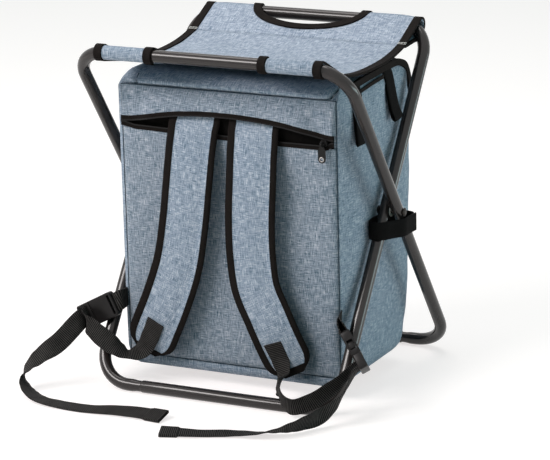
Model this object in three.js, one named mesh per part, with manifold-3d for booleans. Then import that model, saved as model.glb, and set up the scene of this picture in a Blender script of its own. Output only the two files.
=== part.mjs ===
// Folding cooler stool: two crossed loops of steel tube, a cloth seat slung between
// their top bars, and an insulated rucksack that hangs between the legs.
// Millimetres, +Z up. The origin is on the floor, midway under the two pivots.
// The shoulder straps are on the -Y side.

import * as THREE from 'three';
import { mergeVertices } from 'three/addons/utils/BufferGeometryUtils.js';
import Module from 'manifold-3d';

const wasm = await Module();
wasm.setup();

// Clearance between pieces that touch or are sewn together
const gap = 0.3;

// Frame tubes
const tubeRadius = 8;
const tubeWall = 1.2;
const tubeSides = 12;
const outerHalfWidth = 187.5; // middle of the wide loop's legs
const legGap = 1.6; // washer space between crossed legs
const upperReach = 261.2; // pivot to top bar
const lowerReach = 271.6; // pivot to floor bar
const legTilt = THREE.MathUtils.degToRad(35.6);
const bendRadius = 46;
const bendSteps = 8;
const floorStub = 20; // straight end of a loop past its floor bend
const spigotLength = 16; // end of a floor bar inside the stub
const spigotWall = 1.2;

// Pivots
const rivetRadius = 3;
const rivetHeadRadius = 5.6;
const rivetHeadHeight = 2.4;
const washerRadius = 7.4;

// Seat
const seatHalfWidth = 158;
const seatThickness = 2.4;
const seatSag = 29; // middle of the seat below the top bars' axes
const seatEndRise = 4; // seat cloth above the axis where it meets a sleeve
const handleHalfWidth = 74; // bare stretch of each top bar
const handleDepth = 32; // cut-out, from the bar's axis
const sleeveWall = 1.3;
const outerSleeveBends = 2; // steps of the bend that a sleeve covers
const innerSleeveBends = 3;

// Bag
const bagSideGap = 9.4; // bag to the inner legs
const bagFront = 100; // strap-side wall
const bagRear = 121;
const bagBottom = 21;
const seatToBag = 3.6;
const fabric = 1.6;
const foam = 6;
const frontCorner = 4;
const rearCorner = 14;
const boardThickness = 2.5;
const boardMargin = 1;

// Zipped flap over the upper rear of the bag
const flapHinge = 292; // height of its hinge line
const flapFront = 62; // how far forward it reaches over the top
const flapRebate = 8; // liner that shows round the flap's pad

// Stow pocket on the strap side
const pocketMargin = 2.5; // bag's side to the panel's edge
const pocketFoot = 11; // panel's lower edge above the bag's bottom
const pocketTop = 338;
const pocketDepth = 7.5;
const pocketRim = 6;
const pocketChamfer = 3;
const tapeHeight = 3.6;
const mouthClosed = 8.2; // lip above the panel where the zip is shut
const mouthArch = 16; // how much higher the lip stands in the middle
const lipBulge = 8.2; // how much further out it stands there
const bandDrop = 16; // top seam below the bag's top

// Zip slider and pull
const sliderWidth = 10;
const sliderHeight = 7.4;
const sliderDepth = 3.4;
const bridgeStand = 4; // pull's axis in front of the slider
const bridgeBar = 1.6;
const pullWidth = 10;
const pullLength = 24;
const pullThickness = 1.8;
const pullEye = 3.8;
const pullRim = 1.4;
const pocketSliderInset = 15.5; // slider's middle from the bag's side
const flapSliderInset = 11.5;
const flapSliderDrop = 6; // slider's middle below the flap

// Shoulder straps and webbing
const strapWidth = 70;
const strapThickness = 9.5;
const strapLay = 0.4; // strap off the pocket panel
const webbingWidth = 25;
const webbingThickness = 1.6;
const hemLength = 24;

// Side-release buckles
const buckleWidth = 33;
const socketLength = 34;
const socketThickness = 9;
const socketWall = 3.3; // beside the cavity
const socketBack = 9; // behind the cavity
const cavityHeight = 5.4;
const windowStart = 14;
const windowEnd = 27;
const plugLength = 20;
const plugThickness = 8;
const plugPlay = 0.4; // arms and tongue inside the socket
const armWidth = 4;
const tongueHalfWidth = 2.6;
const ladderSlot = 3.4;
const plugSlots = [5.4, 12.4]; // from the plug's shoulder
const webbingSetback = 4; // straight end of a tab at its socket
const tabRadius = 18; // of the swing that brings a tab into its buckle's axis
const tabHeight = 107; // tab's seam on the bag
const buckleDrop = 4; // socket's end under that seam
const leftBuckleAside = 8.5; // socket's end beside the bag
const leftBuckleAhead = 18; // and in front of it
const rightBuckleAside = 17.5;
const rightBuckleAhead = 28;

// Webbing loops and hook-and-loop bands on the sides
const loopWidth = 20;
const loopStand = 6.4;
const loopThickness = 1.6;
const loopDrop = 20; // sewn top end under the bag's top
const rearLoopY = 42;
const rearLoopLength = 60.2;
const frontLoopY = -52;
const frontLoopLength = 64.2;
const bandHeight = 25;
const bandThickness = 1.8;
const bandBelowPivot = 6.6; // top edge under the pivots
const bandPlay = 0.8;
const bandTail = 14; // free end past the loop

// What follows from those sizes
const innerHalfWidth = outerHalfWidth - 2 * tubeRadius - legGap;
const pivotHeight = tubeRadius + lowerReach * Math.cos(legTilt);
const topBarY = upperReach * Math.sin(legTilt);
const topBarZ = pivotHeight + upperReach * Math.cos(legTilt);
const floorBarY = lowerReach * Math.sin(legTilt);
const flatShare = Math.cos(Math.PI / tubeSides); // a flat's share of a facet corner's radius
const sleeveInside = (tubeRadius + gap) / flatShare;
const sleeveOutside = sleeveInside + sleeveWall;
const seatMiddle = topBarZ - seatSag;
const bagHalfWidth = innerHalfWidth - tubeRadius - bagSideGap;
const bagTop = seatMiddle - seatThickness - seatToBag;
const pocketHalfWidth = bagHalfWidth - pocketMargin;
const pocketFace = bagFront + pocketDepth;
const bandSeam = bagTop - bandDrop;

// Colours and finishes
const finish = (color, roughness, metalness = 0) =>
  new THREE.MeshStandardMaterial({ color, roughness, metalness });
const gunmetal = finish(0x39332f, 0.38, 0.6);
const zinc = finish(0x8d8a85, 0.35, 0.9);
const cloth = finish(0x6f8799, 0.95);
const clothDark = finish(0x587182, 0.95);
const foil = finish(0xb9bcbe, 0.4, 0.5);
const foamWhite = finish(0xd8d8d4, 0.9);
const boardGrey = finish(0x55585a, 0.7);
const webbingBlack = finish(0x1d1c1c, 0.85);
const zipBlack = finish(0x221f1e, 0.7);
const plasticBlack = finish(0x191919, 0.45);
const nylon = finish(0xc9c6be, 0.6);

const stool = new THREE.Group();

function add(name, geometry, material, parent = stool) {
  const mesh = new THREE.Mesh(geometry, material);
  mesh.name = name;
  parent.add(mesh);
  return mesh;
}

// Geometry helpers

const point = (x, y, z) => new THREE.Vector3(x, y, z);

// A path whose rings lie exactly at the given points
class StationPath extends THREE.Curve {
  constructor(stations) {
    super();
    this.stations = stations;
  }

  getPoint(t, target = new THREE.Vector3()) {
    const last = this.stations.length - 1;
    const i = Math.min(Math.floor(t * last + 1e-9), last - 1);
    return target.lerpVectors(this.stations[i], this.stations[i + 1], t * last - i);
  }

  getPointAt(u, target) {
    return this.getPoint(u, target);
  }

  getTangentAt(u, target = new THREE.Vector3()) {
    return target.copy(headingAt(this.stations, Math.round(u * (this.stations.length - 1))));
  }
}

// Mean direction of a route at one of its points
function headingAt(route, i) {
  const heading = new THREE.Vector3();
  if (i > 0) heading.add(route[i].clone().sub(route[i - 1]).normalize());
  if (i < route.length - 1) heading.add(route[i + 1].clone().sub(route[i]).normalize());
  return heading.normalize();
}

function polygon(radius, sides = tubeSides) {
  const corners = [];
  for (let i = 0; i < sides; i++) {
    const turn = (2 * Math.PI * i) / sides;
    corners.push(new THREE.Vector2(radius * Math.cos(turn), radius * Math.sin(turn)));
  }
  return corners;
}

function ringShape(outside, inside) {
  const shape = new THREE.Shape(polygon(outside));
  shape.holes.push(new THREE.Path(polygon(inside)));
  return shape;
}

function pipe(stations, outside, inside) {
  const shape = inside ? ringShape(outside, inside) : new THREE.Shape(polygon(outside));
  const extrudePath = new StationPath(stations);
  return new THREE.ExtrudeGeometry(shape, { steps: stations.length - 1, extrudePath });
}

// One closed skin with merged corners and outward faces
function sealed(geometry) {
  const bare = geometry.clone();
  bare.deleteAttribute('normal');
  bare.deleteAttribute('uv');
  const skin = mergeVertices(bare, 1e-4);
  const at = skin.attributes.position;
  const index = skin.index.array;
  const [a, b, c] = [new THREE.Vector3(), new THREE.Vector3(), new THREE.Vector3()];
  let volume = 0;
  for (let i = 0; i < index.length; i += 3) {
    a.fromBufferAttribute(at, index[i]);
    b.fromBufferAttribute(at, index[i + 1]);
    c.fromBufferAttribute(at, index[i + 2]);
    volume += a.dot(b.cross(c));
  }
  if (volume < 0) index.reverse();
  return skin;
}

function solid(geometry) {
  const skin = sealed(geometry);
  const vertProperties = Float32Array.from(skin.attributes.position.array);
  const triVerts = Uint32Array.from(skin.index.array);
  return new wasm.Manifold(new wasm.Mesh({ numProp: 3, vertProperties, triVerts }));
}

function skinOf(body) {
  const mesh = body.getMesh();
  const geometry = new THREE.BufferGeometry();
  geometry.setAttribute('position', new THREE.BufferAttribute(mesh.vertProperties, 3));
  geometry.setIndex(new THREE.BufferAttribute(mesh.triVerts, 1));
  return geometry;
}

// A box between two corners
function block(low, high) {
  const size = high.clone().sub(low);
  const geometry = new THREE.BoxGeometry(size.x, size.y, size.z);
  const middle = low.clone().add(high).multiplyScalar(0.5);
  return geometry.translate(middle.x, middle.y, middle.z);
}

// A skin through rings of equally many points, closed at both ends. On a flat band, both
// faces are split along the same diagonals, so that a twist doesn't bring them through each other.
function loft(rings, flat = false) {
  const count = rings[0].length;
  const triangles = [];
  for (let r = 0; r < rings.length - 1; r++) {
    for (let i = 0; i < count; i++) {
      const [a, b] = [r * count + i, r * count + ((i + 1) % count)];
      if (flat && i >= count / 2) triangles.push(a, b, a + count, b, b + count, a + count);
      else triangles.push(a, b, b + count, a, b + count, a + count);
    }
  }
  const first = capOf(rings[0]);
  const last = capOf(rings[rings.length - 1]);
  const start = (rings.length - 1) * count;
  for (const [i, j, k] of first) triangles.push(k, j, i);
  for (const [i, j, k] of last) triangles.push(start + i, start + j, start + k);
  const geometry = new THREE.BufferGeometry().setFromPoints(rings.flat());
  geometry.setIndex(triangles);
  return sealed(geometry);
}

// Triangles that close a ring, in the ring's own order
function capOf(ring) {
  const normal = new THREE.Vector3();
  ring.forEach((p, i) => normal.add(p.clone().cross(ring[(i + 1) % ring.length])));
  const toFlat = new THREE.Quaternion().setFromUnitVectors(normal.normalize(), point(0, 0, 1));
  const flat = ring.map((p) => {
    const q = p.clone().applyQuaternion(toFlat);
    return new THREE.Vector2(q.x, q.y);
  });
  return THREE.ShapeUtils.triangulateShape(flat, []);
}

// A shape drawn in (Y, Z) and drawn out along X
function alongX(shape, from, to) {
  const geometry = new THREE.ExtrudeGeometry(shape, { depth: to - from, bevelEnabled: false });
  const turn = new THREE.Matrix4().makeBasis(point(0, 1, 0), point(0, 0, 1), point(1, 0, 0));
  return geometry.applyMatrix4(turn).translate(from, 0, 0);
}

// A shape drawn in (X, Y) and drawn out along Z
function alongZ(shape, from, to) {
  const geometry = new THREE.ExtrudeGeometry(shape, { depth: to - from, bevelEnabled: false });
  return geometry.translate(0, 0, from);
}

// Straight interpolation in a list of [position, value] pairs
function valueAt(pairs, position) {
  const i = Math.max(1, pairs.findIndex(([p]) => position <= p));
  const end = position > pairs[pairs.length - 1][0] ? pairs.length - 1 : i;
  const [[p0, v0], [p1, v1]] = [pairs[end - 1], pairs[end]];
  const share = THREE.MathUtils.clamp((position - p0) / (p1 - p0), 0, 1);
  return v0 + (v1 - v0) * share;
}

// Crossed loops. Each is drawn flat, with its pivot at the origin, and tilted as a group.

function bend(centreX, centreZ, fromTurn, toTurn) {
  const stations = [];
  for (let i = 0; i <= bendSteps; i++) {
    const turn = fromTurn + ((toTurn - fromTurn) * i) / bendSteps;
    const [x, z] = [Math.cos(turn), Math.sin(turn)];
    stations.push(point(centreX + bendRadius * x, 0, centreZ + bendRadius * z));
  }
  return stations;
}

function loopStations(halfWidth) {
  const side = halfWidth - bendRadius;
  const [top, foot] = [upperReach - bendRadius, -lowerReach + bendRadius];
  const quarter = Math.PI / 2;
  return [
    point(-side + floorStub, 0, -lowerReach),
    ...bend(-side, foot, -quarter, -2 * quarter),
    ...bend(-side, top, 2 * quarter, quarter),
    ...bend(side, top, quarter, 0),
    ...bend(side, foot, 0, -quarter),
    point(side - floorStub, 0, -lowerReach),
  ];
}

// Stretch of a top bar from one side's handle end into its bend
function sleeveStations(halfWidth, side, bends) {
  const turned = bend(halfWidth - bendRadius, upperReach - bendRadius, Math.PI / 2, 0);
  const half = [point(handleHalfWidth, 0, upperReach), ...turned.slice(0, bends + 1)];
  return half.map((p) => point(side * p.x, p.y, p.z));
}

function loopTube(halfWidth) {
  const tube = solid(pipe(loopStations(halfWidth), tubeRadius, tubeRadius - tubeWall));
  const reach = 2 * (halfWidth + 2 * tubeRadius);
  const drill = new THREE.CylinderGeometry(rivetRadius + gap, rivetRadius + gap, reach, tubeSides);
  return skinOf(tube.subtract(solid(drill.rotateZ(Math.PI / 2))));
}

// Floor bar with a reduced spigot at each end that fits inside the loop's stub
function floorBar(halfWidth) {
  const end = halfWidth - bendRadius - floorStub - gap;
  const tip = end + spigotLength;
  const outside = tubeRadius / flatShare;
  const inside = outside - tubeWall;
  const spigot = (tubeRadius - tubeWall) * flatShare - gap;
  const bore = spigot - spigotWall;
  const neck = 4;
  const half = [
    [bore, tip],
    [spigot, tip],
    [spigot, end],
    [outside, end],
  ];
  const inner = [
    [inside, end - 2 * neck],
    [bore, end - neck],
  ];
  const profile = [...half, ...half.map(([r, s]) => [r, -s]).reverse()];
  profile.push(...inner.map(([r, s]) => [r, -s]).reverse(), ...inner, half[0]);
  const points = profile.map(([r, s]) => new THREE.Vector2(r, s));
  const bar = new THREE.LatheGeometry(points, tubeSides, Math.PI / tubeSides);
  return bar.rotateZ(Math.PI / 2);
}

function frameGroup(name, halfWidth, lean, sleeveBends) {
  const group = new THREE.Group();
  group.position.z = pivotHeight;
  group.rotation.x = lean * legTilt;
  stool.add(group);
  add(`${name}_loop`, loopTube(halfWidth), gunmetal, group);
  const place = lean > 0 ? 'front' : 'rear';
  for (const [sideName, side] of [['left', -1], ['right', 1]]) {
    const stations = sleeveStations(halfWidth, side, sleeveBends);
    const sleeve = pipe(stations, sleeveOutside, sleeveInside);
    add(`${place}_sleeve_${sideName}`, sealed(sleeve), cloth, group);
  }
  const bar = add(`${name}_floor_bar`, sealed(floorBar(halfWidth)), gunmetal);
  bar.position.set(0, lean * floorBarY, tubeRadius);
  return group;
}

frameGroup('outer', outerHalfWidth, 1, outerSleeveBends);
frameGroup('inner', innerHalfWidth, -1, innerSleeveBends);

// Pivot rivets and the washers between the crossed legs
function rivet() {
  const length = outerHalfWidth - innerHalfWidth + 2 * (tubeRadius + gap);
  const edge = 0.4 * rivetHeadHeight;
  const crown = 0.6 * rivetHeadRadius;
  const profile = [
    [0, -rivetHeadHeight],
    [crown, -rivetHeadHeight],
    [rivetHeadRadius, -edge],
    [rivetHeadRadius, 0],
    [rivetRadius, 0],
    [rivetRadius, length],
    [rivetHeadRadius, length],
    [rivetHeadRadius, length + edge],
    [crown, length + rivetHeadHeight],
    [0, length + rivetHeadHeight],
  ];
  return new THREE.LatheGeometry(profile.map(([r, s]) => new THREE.Vector2(r, s)), tubeSides);
}

for (const [sideName, side] of [['left', -1], ['right', 1]]) {
  const pin = add(`${sideName}_pivot_rivet`, sealed(rivet()), zinc);
  pin.position.set(side * (innerHalfWidth - tubeRadius - gap), 0, pivotHeight);
  pin.rotation.z = (-side * Math.PI) / 2;
  const ring = ringShape(washerRadius, rivetRadius + 2 * gap);
  const inside = innerHalfWidth + tubeRadius + gap;
  const outside = outerHalfWidth - tubeRadius - gap;
  const span = side > 0 ? [inside, outside] : [-outside, -inside];
  const washer = add(`${sideName}_pivot_washer`, sealed(alongX(ring, ...span)), nylon);
  washer.position.z = pivotHeight;
}

// Seat sling: a sagging sheet with a curved cut-out at each handle, ending at the sleeves
function seatSling() {
  const steps = 20;
  const top = [];
  for (let i = 0; i <= steps; i++) {
    const y = ((2 * i) / steps - 1) * (topBarY - tubeRadius);
    const rise = (seatSag + seatEndRise) * Math.abs(y / topBarY) ** 2.5;
    top.push(new THREE.Vector2(y, seatMiddle + rise));
  }
  const under = top.map((p) => new THREE.Vector2(p.x, p.y - seatThickness)).reverse();
  let sling = solid(alongX(new THREE.Shape([...top, ...under]), -seatHalfWidth, seatHalfWidth));
  for (const [halfWidth, lean] of [[outerHalfWidth, 1], [innerHalfWidth, -1]]) {
    const right = sleeveStations(halfWidth, 1, bendSteps);
    const left = sleeveStations(halfWidth, -1, bendSteps);
    const room = pipe([...left.reverse(), ...right], sleeveOutside + 2 * gap);
    room.rotateX(lean * legTilt).translate(0, 0, pivotHeight);
    const opening = new THREE.Shape();
    opening.absellipse(0, -lean * topBarY, handleHalfWidth, handleDepth, 0, 2 * Math.PI);
    const curveSegments = 14;
    const depth = 2 * seatSag;
    const cut = new THREE.ExtrudeGeometry(opening, { depth, bevelEnabled: false, curveSegments });
    cut.translate(0, 0, topBarZ - depth / 2);
    sling = sling.subtract(solid(room)).subtract(solid(cut));
  }
  return skinOf(sling);
}

add('seat_sling', seatSling(), cloth);

// Bag: rounded plans at several heights, drawn in at the foot and over the top

const bagSections = [
  { height: bagBottom, side: 14, front: 12, rear: 40 },
  { height: bagBottom + 4, side: 5, front: 4, rear: 30 },
  { height: bagBottom + 12, side: 1, front: 0, rear: 25 },
  { height: bagBottom + 99, side: 0, front: 0, rear: 7 },
  { height: bagBottom + 220, side: 0, front: 0, rear: 0 },
  { height: bagTop - 30, side: 0, front: 0, rear: 1.5 },
  { height: bagTop - 18, side: 0, front: 0, rear: 4 },
  { height: bagTop - 9, side: 1, front: 6, rear: 12 },
  { height: bagTop - 3, side: 3, front: 14, rear: 22 },
  { height: bagTop, side: 5, front: 22, rear: 36 },
];

function roundedPlan(halfWidth, front, rear, z, inset = 0) {
  const steps = 4;
  const corners = [
    [halfWidth, -front, frontCorner, -Math.PI / 2],
    [halfWidth, rear, rearCorner, 0],
    [-halfWidth, rear, rearCorner, Math.PI / 2],
    [-halfWidth, -front, frontCorner, Math.PI],
  ];
  const ring = [];
  for (const [x, y, full, start] of corners) {
    const radius = Math.max(full - inset, 1);
    const [centreX, centreY] = [x - Math.sign(x) * radius, y - Math.sign(y) * radius];
    for (let i = 0; i <= steps; i++) {
      const turn = start + (Math.PI / 2) * (i / steps);
      ring.push(point(centreX + radius * Math.cos(turn), centreY + radius * Math.sin(turn), z));
    }
  }
  return ring;
}

// The bag's form, or the same form some way inside it
function bagForm(inset = 0) {
  const height = bagTop - bagBottom;
  const rings = bagSections.map(({ height: at, side, front, rear }) => {
    const share = (at - bagBottom) / height;
    const z = bagBottom + inset + share * (height - 2 * inset);
    const halfWidth = bagHalfWidth - side - inset;
    return roundedPlan(halfWidth, bagFront - front - inset, bagRear - rear - inset, z, inset);
  });
  return solid(loft(rings));
}

// The space that the flap takes out of the bag, drawn in by a margin
function flapSpace(margin) {
  const halfWidth = bagHalfWidth - fabric - 0.1 - margin;
  const low = point(-halfWidth, flapFront + margin, flapHinge + margin);
  return solid(block(low, point(halfWidth, 2 * bagRear, 2 * bagTop)));
}

const above = (height) => {
  const reach = 2 * bagHalfWidth;
  return solid(block(point(-reach, -reach, height), point(reach, reach, 2 * bagTop)));
};

const boardFloor = bagBottom + fabric + gap;
const linerFloor = boardFloor + boardThickness + gap;
const lining = fabric + gap;
const skin = bagForm().subtract(bagForm(fabric));
add('bag_shell', skinOf(skin.subtract(flapSpace(0))), clothDark);
add('cooler_flap', skinOf(skin.intersect(flapSpace(gap))), clothDark);

const insulation = bagForm(lining).intersect(above(linerFloor));
const hollow = bagForm(lining + foam).intersect(above(linerFloor + foam));
const quilt = insulation.subtract(hollow);
add('cooler_liner', skinOf(quilt.subtract(flapSpace(flapRebate))), foil);
add('flap_pad', skinOf(quilt.intersect(flapSpace(flapRebate + 2 * gap))), foamWhite);

function baseBoard() {
  const foot = bagSections[0];
  const halfWidth = bagHalfWidth - foot.side - fabric - boardMargin;
  const front = bagFront - foot.front - fabric - boardMargin;
  const rear = bagRear - foot.rear - fabric - boardMargin;
  const plan = (z) => roundedPlan(halfWidth, front, rear, z);
  return loft([plan(boardFloor), plan(boardFloor + boardThickness)]);
}

add('base_board', baseBoard(), boardGrey);

// Strap-side panel: a shallow tray against the bag's wall, open at the top as a pocket
function pocketPanel() {
  const foot = bagBottom + pocketFoot;
  const plate = (depth, inset) => {
    const [x, low, high] = [pocketHalfWidth - inset, foot + inset, pocketTop];
    const y = -(bagFront + depth);
    return [point(-x, y, low), point(x, y, low), point(x, y, high), point(-x, y, high)];
  };
  const shoulder = pocketDepth - pocketChamfer;
  const tray = loft([plate(gap, 0), plate(shoulder, 0), plate(pocketDepth, pocketChamfer)]);
  const x = pocketHalfWidth - pocketRim;
  const low = point(-x, -(pocketFace - fabric), foot + pocketRim);
  const inside = block(low, point(x, 0, 2 * pocketTop));
  return skinOf(solid(tray).subtract(solid(inside)));
}

add('pocket_panel', pocketPanel(), cloth);

// Upper band over the pocket's mouth, pushed up and out in the middle by the straps
const lipHeight = (x) => {
  const arch = Math.cos((Math.PI * x) / (2 * pocketHalfWidth)) ** 2;
  return pocketTop + mouthClosed + mouthArch * arch;
};
const lipReach = (x) => {
  const outward = 1 - THREE.MathUtils.smoothstep(Math.abs(x), 84, 140);
  return pocketDepth + lipBulge * outward;
};
const bandStops = [0, 28, 56, 84, 100, 116, 132];
const mouthStops = [...bandStops, pocketHalfWidth - 4];
const bothSides = (stops) => [...stops.slice(1).map((x) => -x).reverse(), ...stops];

function upperBand() {
  const sewn = gap + fabric;
  const rings = bothSides([...mouthStops, pocketHalfWidth]).map((x) => {
    const reach = Math.abs(x) < pocketHalfWidth ? lipReach(x) : sewn;
    const lip = lipHeight(x);
    const spot = (out, up, depth) => {
      const y = -(bagFront + sewn + (reach - sewn) * out - depth);
      return point(x, y, lip + (bandSeam - lip) * up);
    };
    const swell = [[0, 1], [0.68, 0.62], [0.93, 0.26], [1, 0]];
    const outer = swell.map(([out, up]) => spot(out, up, 0));
    const inner = swell.map(([out, up]) => spot(out, up, fabric)).reverse();
    return [...outer, ...inner];
  });
  return loft(rings);
}

add('pocket_upper_band', upperBand(), cloth);

function upperTape() {
  const rings = bothSides(mouthStops).map((x) => {
    const [front, high] = [-(bagFront + lipReach(x)), lipHeight(x) - gap];
    const [back, low] = [front + fabric, high - tapeHeight];
    return [point(x, front, low), point(x, back, low), point(x, back, high), point(x, front, high)];
  });
  return loft(rings);
}

function lowerTape() {
  const x = pocketHalfWidth - pocketRim;
  const low = point(-x, -pocketFace, pocketTop + gap);
  return block(low, point(x, -(pocketFace - fabric), pocketTop + gap + tapeHeight));
}

add('pocket_zip_upper_tape', upperTape(), zipBlack);
add('pocket_zip_lower_tape', sealed(lowerTape()), zipBlack);

// Zip slider with a bridge on its face, and the pull that swings on the bridge's bar.
// Both are drawn with the slider's back at y = 0, facing -Y, and the bar along X.
function zipSlider() {
  const [x, z] = [sliderWidth / 2, sliderHeight / 2];
  const outline = new THREE.Shape();
  outline.moveTo(-x, 0);
  outline.lineTo(-0.6 * x, -z);
  outline.lineTo(0.6 * x, -z);
  outline.lineTo(x, -0.4 * z);
  outline.lineTo(x, 0.4 * z);
  outline.lineTo(0.6 * x, z);
  outline.lineTo(-0.6 * x, z);
  const upright = new THREE.Matrix4().makeRotationX(Math.PI / 2);
  const body = solid(alongZ(outline, 0, sliderDepth).applyMatrix4(upright));
  const half = bridgeBar / 2;
  const axis = -(sliderDepth + bridgeStand);
  const post = (side) => {
    const inner = side * (pullEye / 2 - half);
    const outer = side * (pullEye / 2 + half);
    const low = point(Math.min(inner, outer), axis - half, -half);
    return solid(block(low, point(Math.max(inner, outer), -sliderDepth / 2, half)));
  };
  const reach = pullEye / 2 + half;
  const bar = solid(block(point(-reach, axis - half, -half), point(reach, axis + half, half)));
  return skinOf(body.add(post(-1)).add(post(1)).add(bar));
}

// The pull hangs from its eye, which goes round the middle of the bar
function zipPull() {
  const axis = -(sliderDepth + bridgeStand);
  const [eye, half] = [pullEye / 2, pullThickness / 2];
  const neck = eye - bridgeBar / 2 - gap; // the eye's bow fits between the posts
  const ring = new THREE.Shape();
  const bow = eye + pullRim;
  ring.absarc(0, 0, bow, 0, 2 * Math.PI);
  const hole = new THREE.Path();
  hole.absarc(0, 0, eye, 0, 2 * Math.PI);
  ring.holes.push(hole);
  const curveSegments = 6;
  const bowLink = new THREE.ExtrudeGeometry(ring, { depth: 2 * neck, bevelEnabled: false, curveSegments });
  const turn = new THREE.Matrix4().makeBasis(point(0, 1, 0), point(0, 0, 1), point(1, 0, 0));
  bowLink.applyMatrix4(turn).translate(-neck, axis, 0);
  const [x, top, low] = [pullWidth / 2, -bow + pullRim / 2, -pullLength];
  const tab = new THREE.Shape();
  tab.moveTo(-0.5 * x, top);
  tab.lineTo(-x, top - x);
  tab.lineTo(-x, low + x);
  tab.absarc(0, low + x, x, Math.PI, 2 * Math.PI);
  tab.lineTo(x, top - x);
  tab.lineTo(0.5 * x, top);
  const eyelet = new THREE.Path();
  eyelet.absarc(0, low + x, 0.36 * x, 0, 2 * Math.PI);
  tab.holes.push(eyelet);
  const plate = new THREE.ExtrudeGeometry(tab, { depth: 2 * half, bevelEnabled: false, curveSegments });
  plate.rotateX(Math.PI / 2).translate(0, axis + half, 0);
  return skinOf(solid(bowLink).add(solid(plate)));
}

function zipper(name, place, turn) {
  const group = new THREE.Group();
  group.position.copy(place);
  group.rotation.z = turn;
  stool.add(group);
  add(`${name}_slider`, zipSlider(), plasticBlack, group);
  add(`${name}_pull`, zipPull(), plasticBlack, group);
}

const pocketSliderZ = pocketTop + gap + tapeHeight - sliderHeight / 2;
zipper('pocket', point(bagHalfWidth - pocketSliderInset, -(pocketFace + gap), pocketSliderZ), 0);
const flapSliderZ = flapHinge - flapSliderDrop;
const rearTucks = bagSections.map(({ height, rear }) => [height, rear]);
const flapSliderY = bagRear - valueAt(rearTucks, flapSliderZ - sliderHeight / 2) + gap;
zipper('flap', point(flapSliderInset - bagHalfWidth, flapSliderY, flapSliderZ), Math.PI);

// Shoulder straps: padded, crowned and rounded, sewn in under the upper band

const strapHang = pocketFace + strapLay + strapThickness / 2;
const strapDepths = [
  [pocketTop - 18, strapHang],
  [pocketTop + 6, strapHang - 0.8],
  [pocketTop + 14, bagFront + 8.6],
  [pocketTop + 28, bagFront + 5],
  [bandSeam - 9, bagFront + 2.2],
];
const strapSwell = [
  [pocketTop - 18, strapThickness],
  [pocketTop + 6, strapThickness - 1.6],
  [pocketTop + 14, 6.8],
  [pocketTop + 28, 5.2],
  [bandSeam - 9, 3],
];

function shoulderStrap(line) {
  const curve = new THREE.CatmullRomCurve3(line.map(([x, z]) => point(x, 0, z)));
  const route = curve.getPoints(2 * (line.length - 1));
  const tip = route.length - 1;
  const taper = [[0, 0.42], [1, 0.8], [2, 0.95], [3, 1]];
  const sides = 14;
  const rings = route.map((p, i) => {
    const heading = headingAt(route, i);
    const across = point(-heading.z, 0, heading.x);
    const [depth, swell] = [valueAt(strapDepths, p.z), valueAt(strapSwell, p.z)];
    const width = strapWidth * valueAt(taper, tip - i);
    const ring = [];
    for (let k = 0; k < sides; k++) {
      const [c, s] = [Math.cos((2 * Math.PI * k) / sides), Math.sin((2 * Math.PI * k) / sides)];
      const side = (width / 2) * Math.sign(c) * Math.abs(c) ** 0.6;
      const out = (swell / 2) * Math.sign(s) * Math.abs(s) ** 0.8;
      ring.push(p.clone().addScaledVector(across, side).add(point(0, -depth - out, 0)));
    }
    return ring;
  });
  return loft(rings);
}

const strapTop = bandSeam - 9;
const leftStrapLine = [
  [-40, strapTop], [-42, pocketTop + 14], [-43, pocketTop + 6], [-47, 318], [-52, 280], [-60, 220],
  [-70, 168], [-89, 115], [-105, 78], [-115, 54], [-120, 41],
];
const rightStrapLine = [
  [42, strapTop], [41, pocketTop + 14], [41, pocketTop + 6], [39, 318], [37, 285], [34, 230],
  [35, 185], [40, 148], [56, 111], [73, 73], [85, 49], [92, 35],
];
add('left_shoulder_strap', shoulderStrap(leftStrapLine), cloth);
add('right_shoulder_strap', shoulderStrap(rightStrapLine), cloth);

// Flat webbing along a route of points, each with the direction of the webbing's width
function webbing(route, hem = 0) {
  const places = route.map(([p]) => point(...p));
  const last = places.length - 1;
  const sections = places.map((place, i) => {
    const heading = headingAt(places, i);
    const across = point(...route[i][1]);
    across.addScaledVector(heading, -across.dot(heading)).normalize();
    return { place, across, normal: heading.clone().cross(across) };
  });
  const ringAt = ({ place, across, normal }, thickness) => {
    const corner = (u, v) => {
      const spot = place.clone().addScaledVector(across, (u * webbingWidth) / 2);
      return spot.addScaledVector(normal, (v * thickness) / 2);
    };
    return [corner(-1, -1), corner(1, -1), corner(1, 1), corner(-1, 1)];
  };
  const rings = sections.map((section) => ringAt(section, webbingThickness));
  if (hem) {
    const [near, end] = [sections[last - 1], sections[last]];
    const share = 1 - hem / near.place.distanceTo(end.place);
    const fold = { ...end, place: near.place.clone().lerp(end.place, share) };
    const step = webbingThickness / 2;
    const back = { ...fold, place: fold.place.clone().addScaledVector(headingAt(places, last), -step) };
    rings.pop();
    rings.push(ringAt(back, webbingThickness), ringAt(fold, 2 * webbingThickness));
    rings.push(ringAt(end, 2 * webbingThickness));
  }
  return loft(rings, true);
}

// Buckles. Drawn with X across, Y from the bag's end to the free end and Z out of the face.

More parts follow.
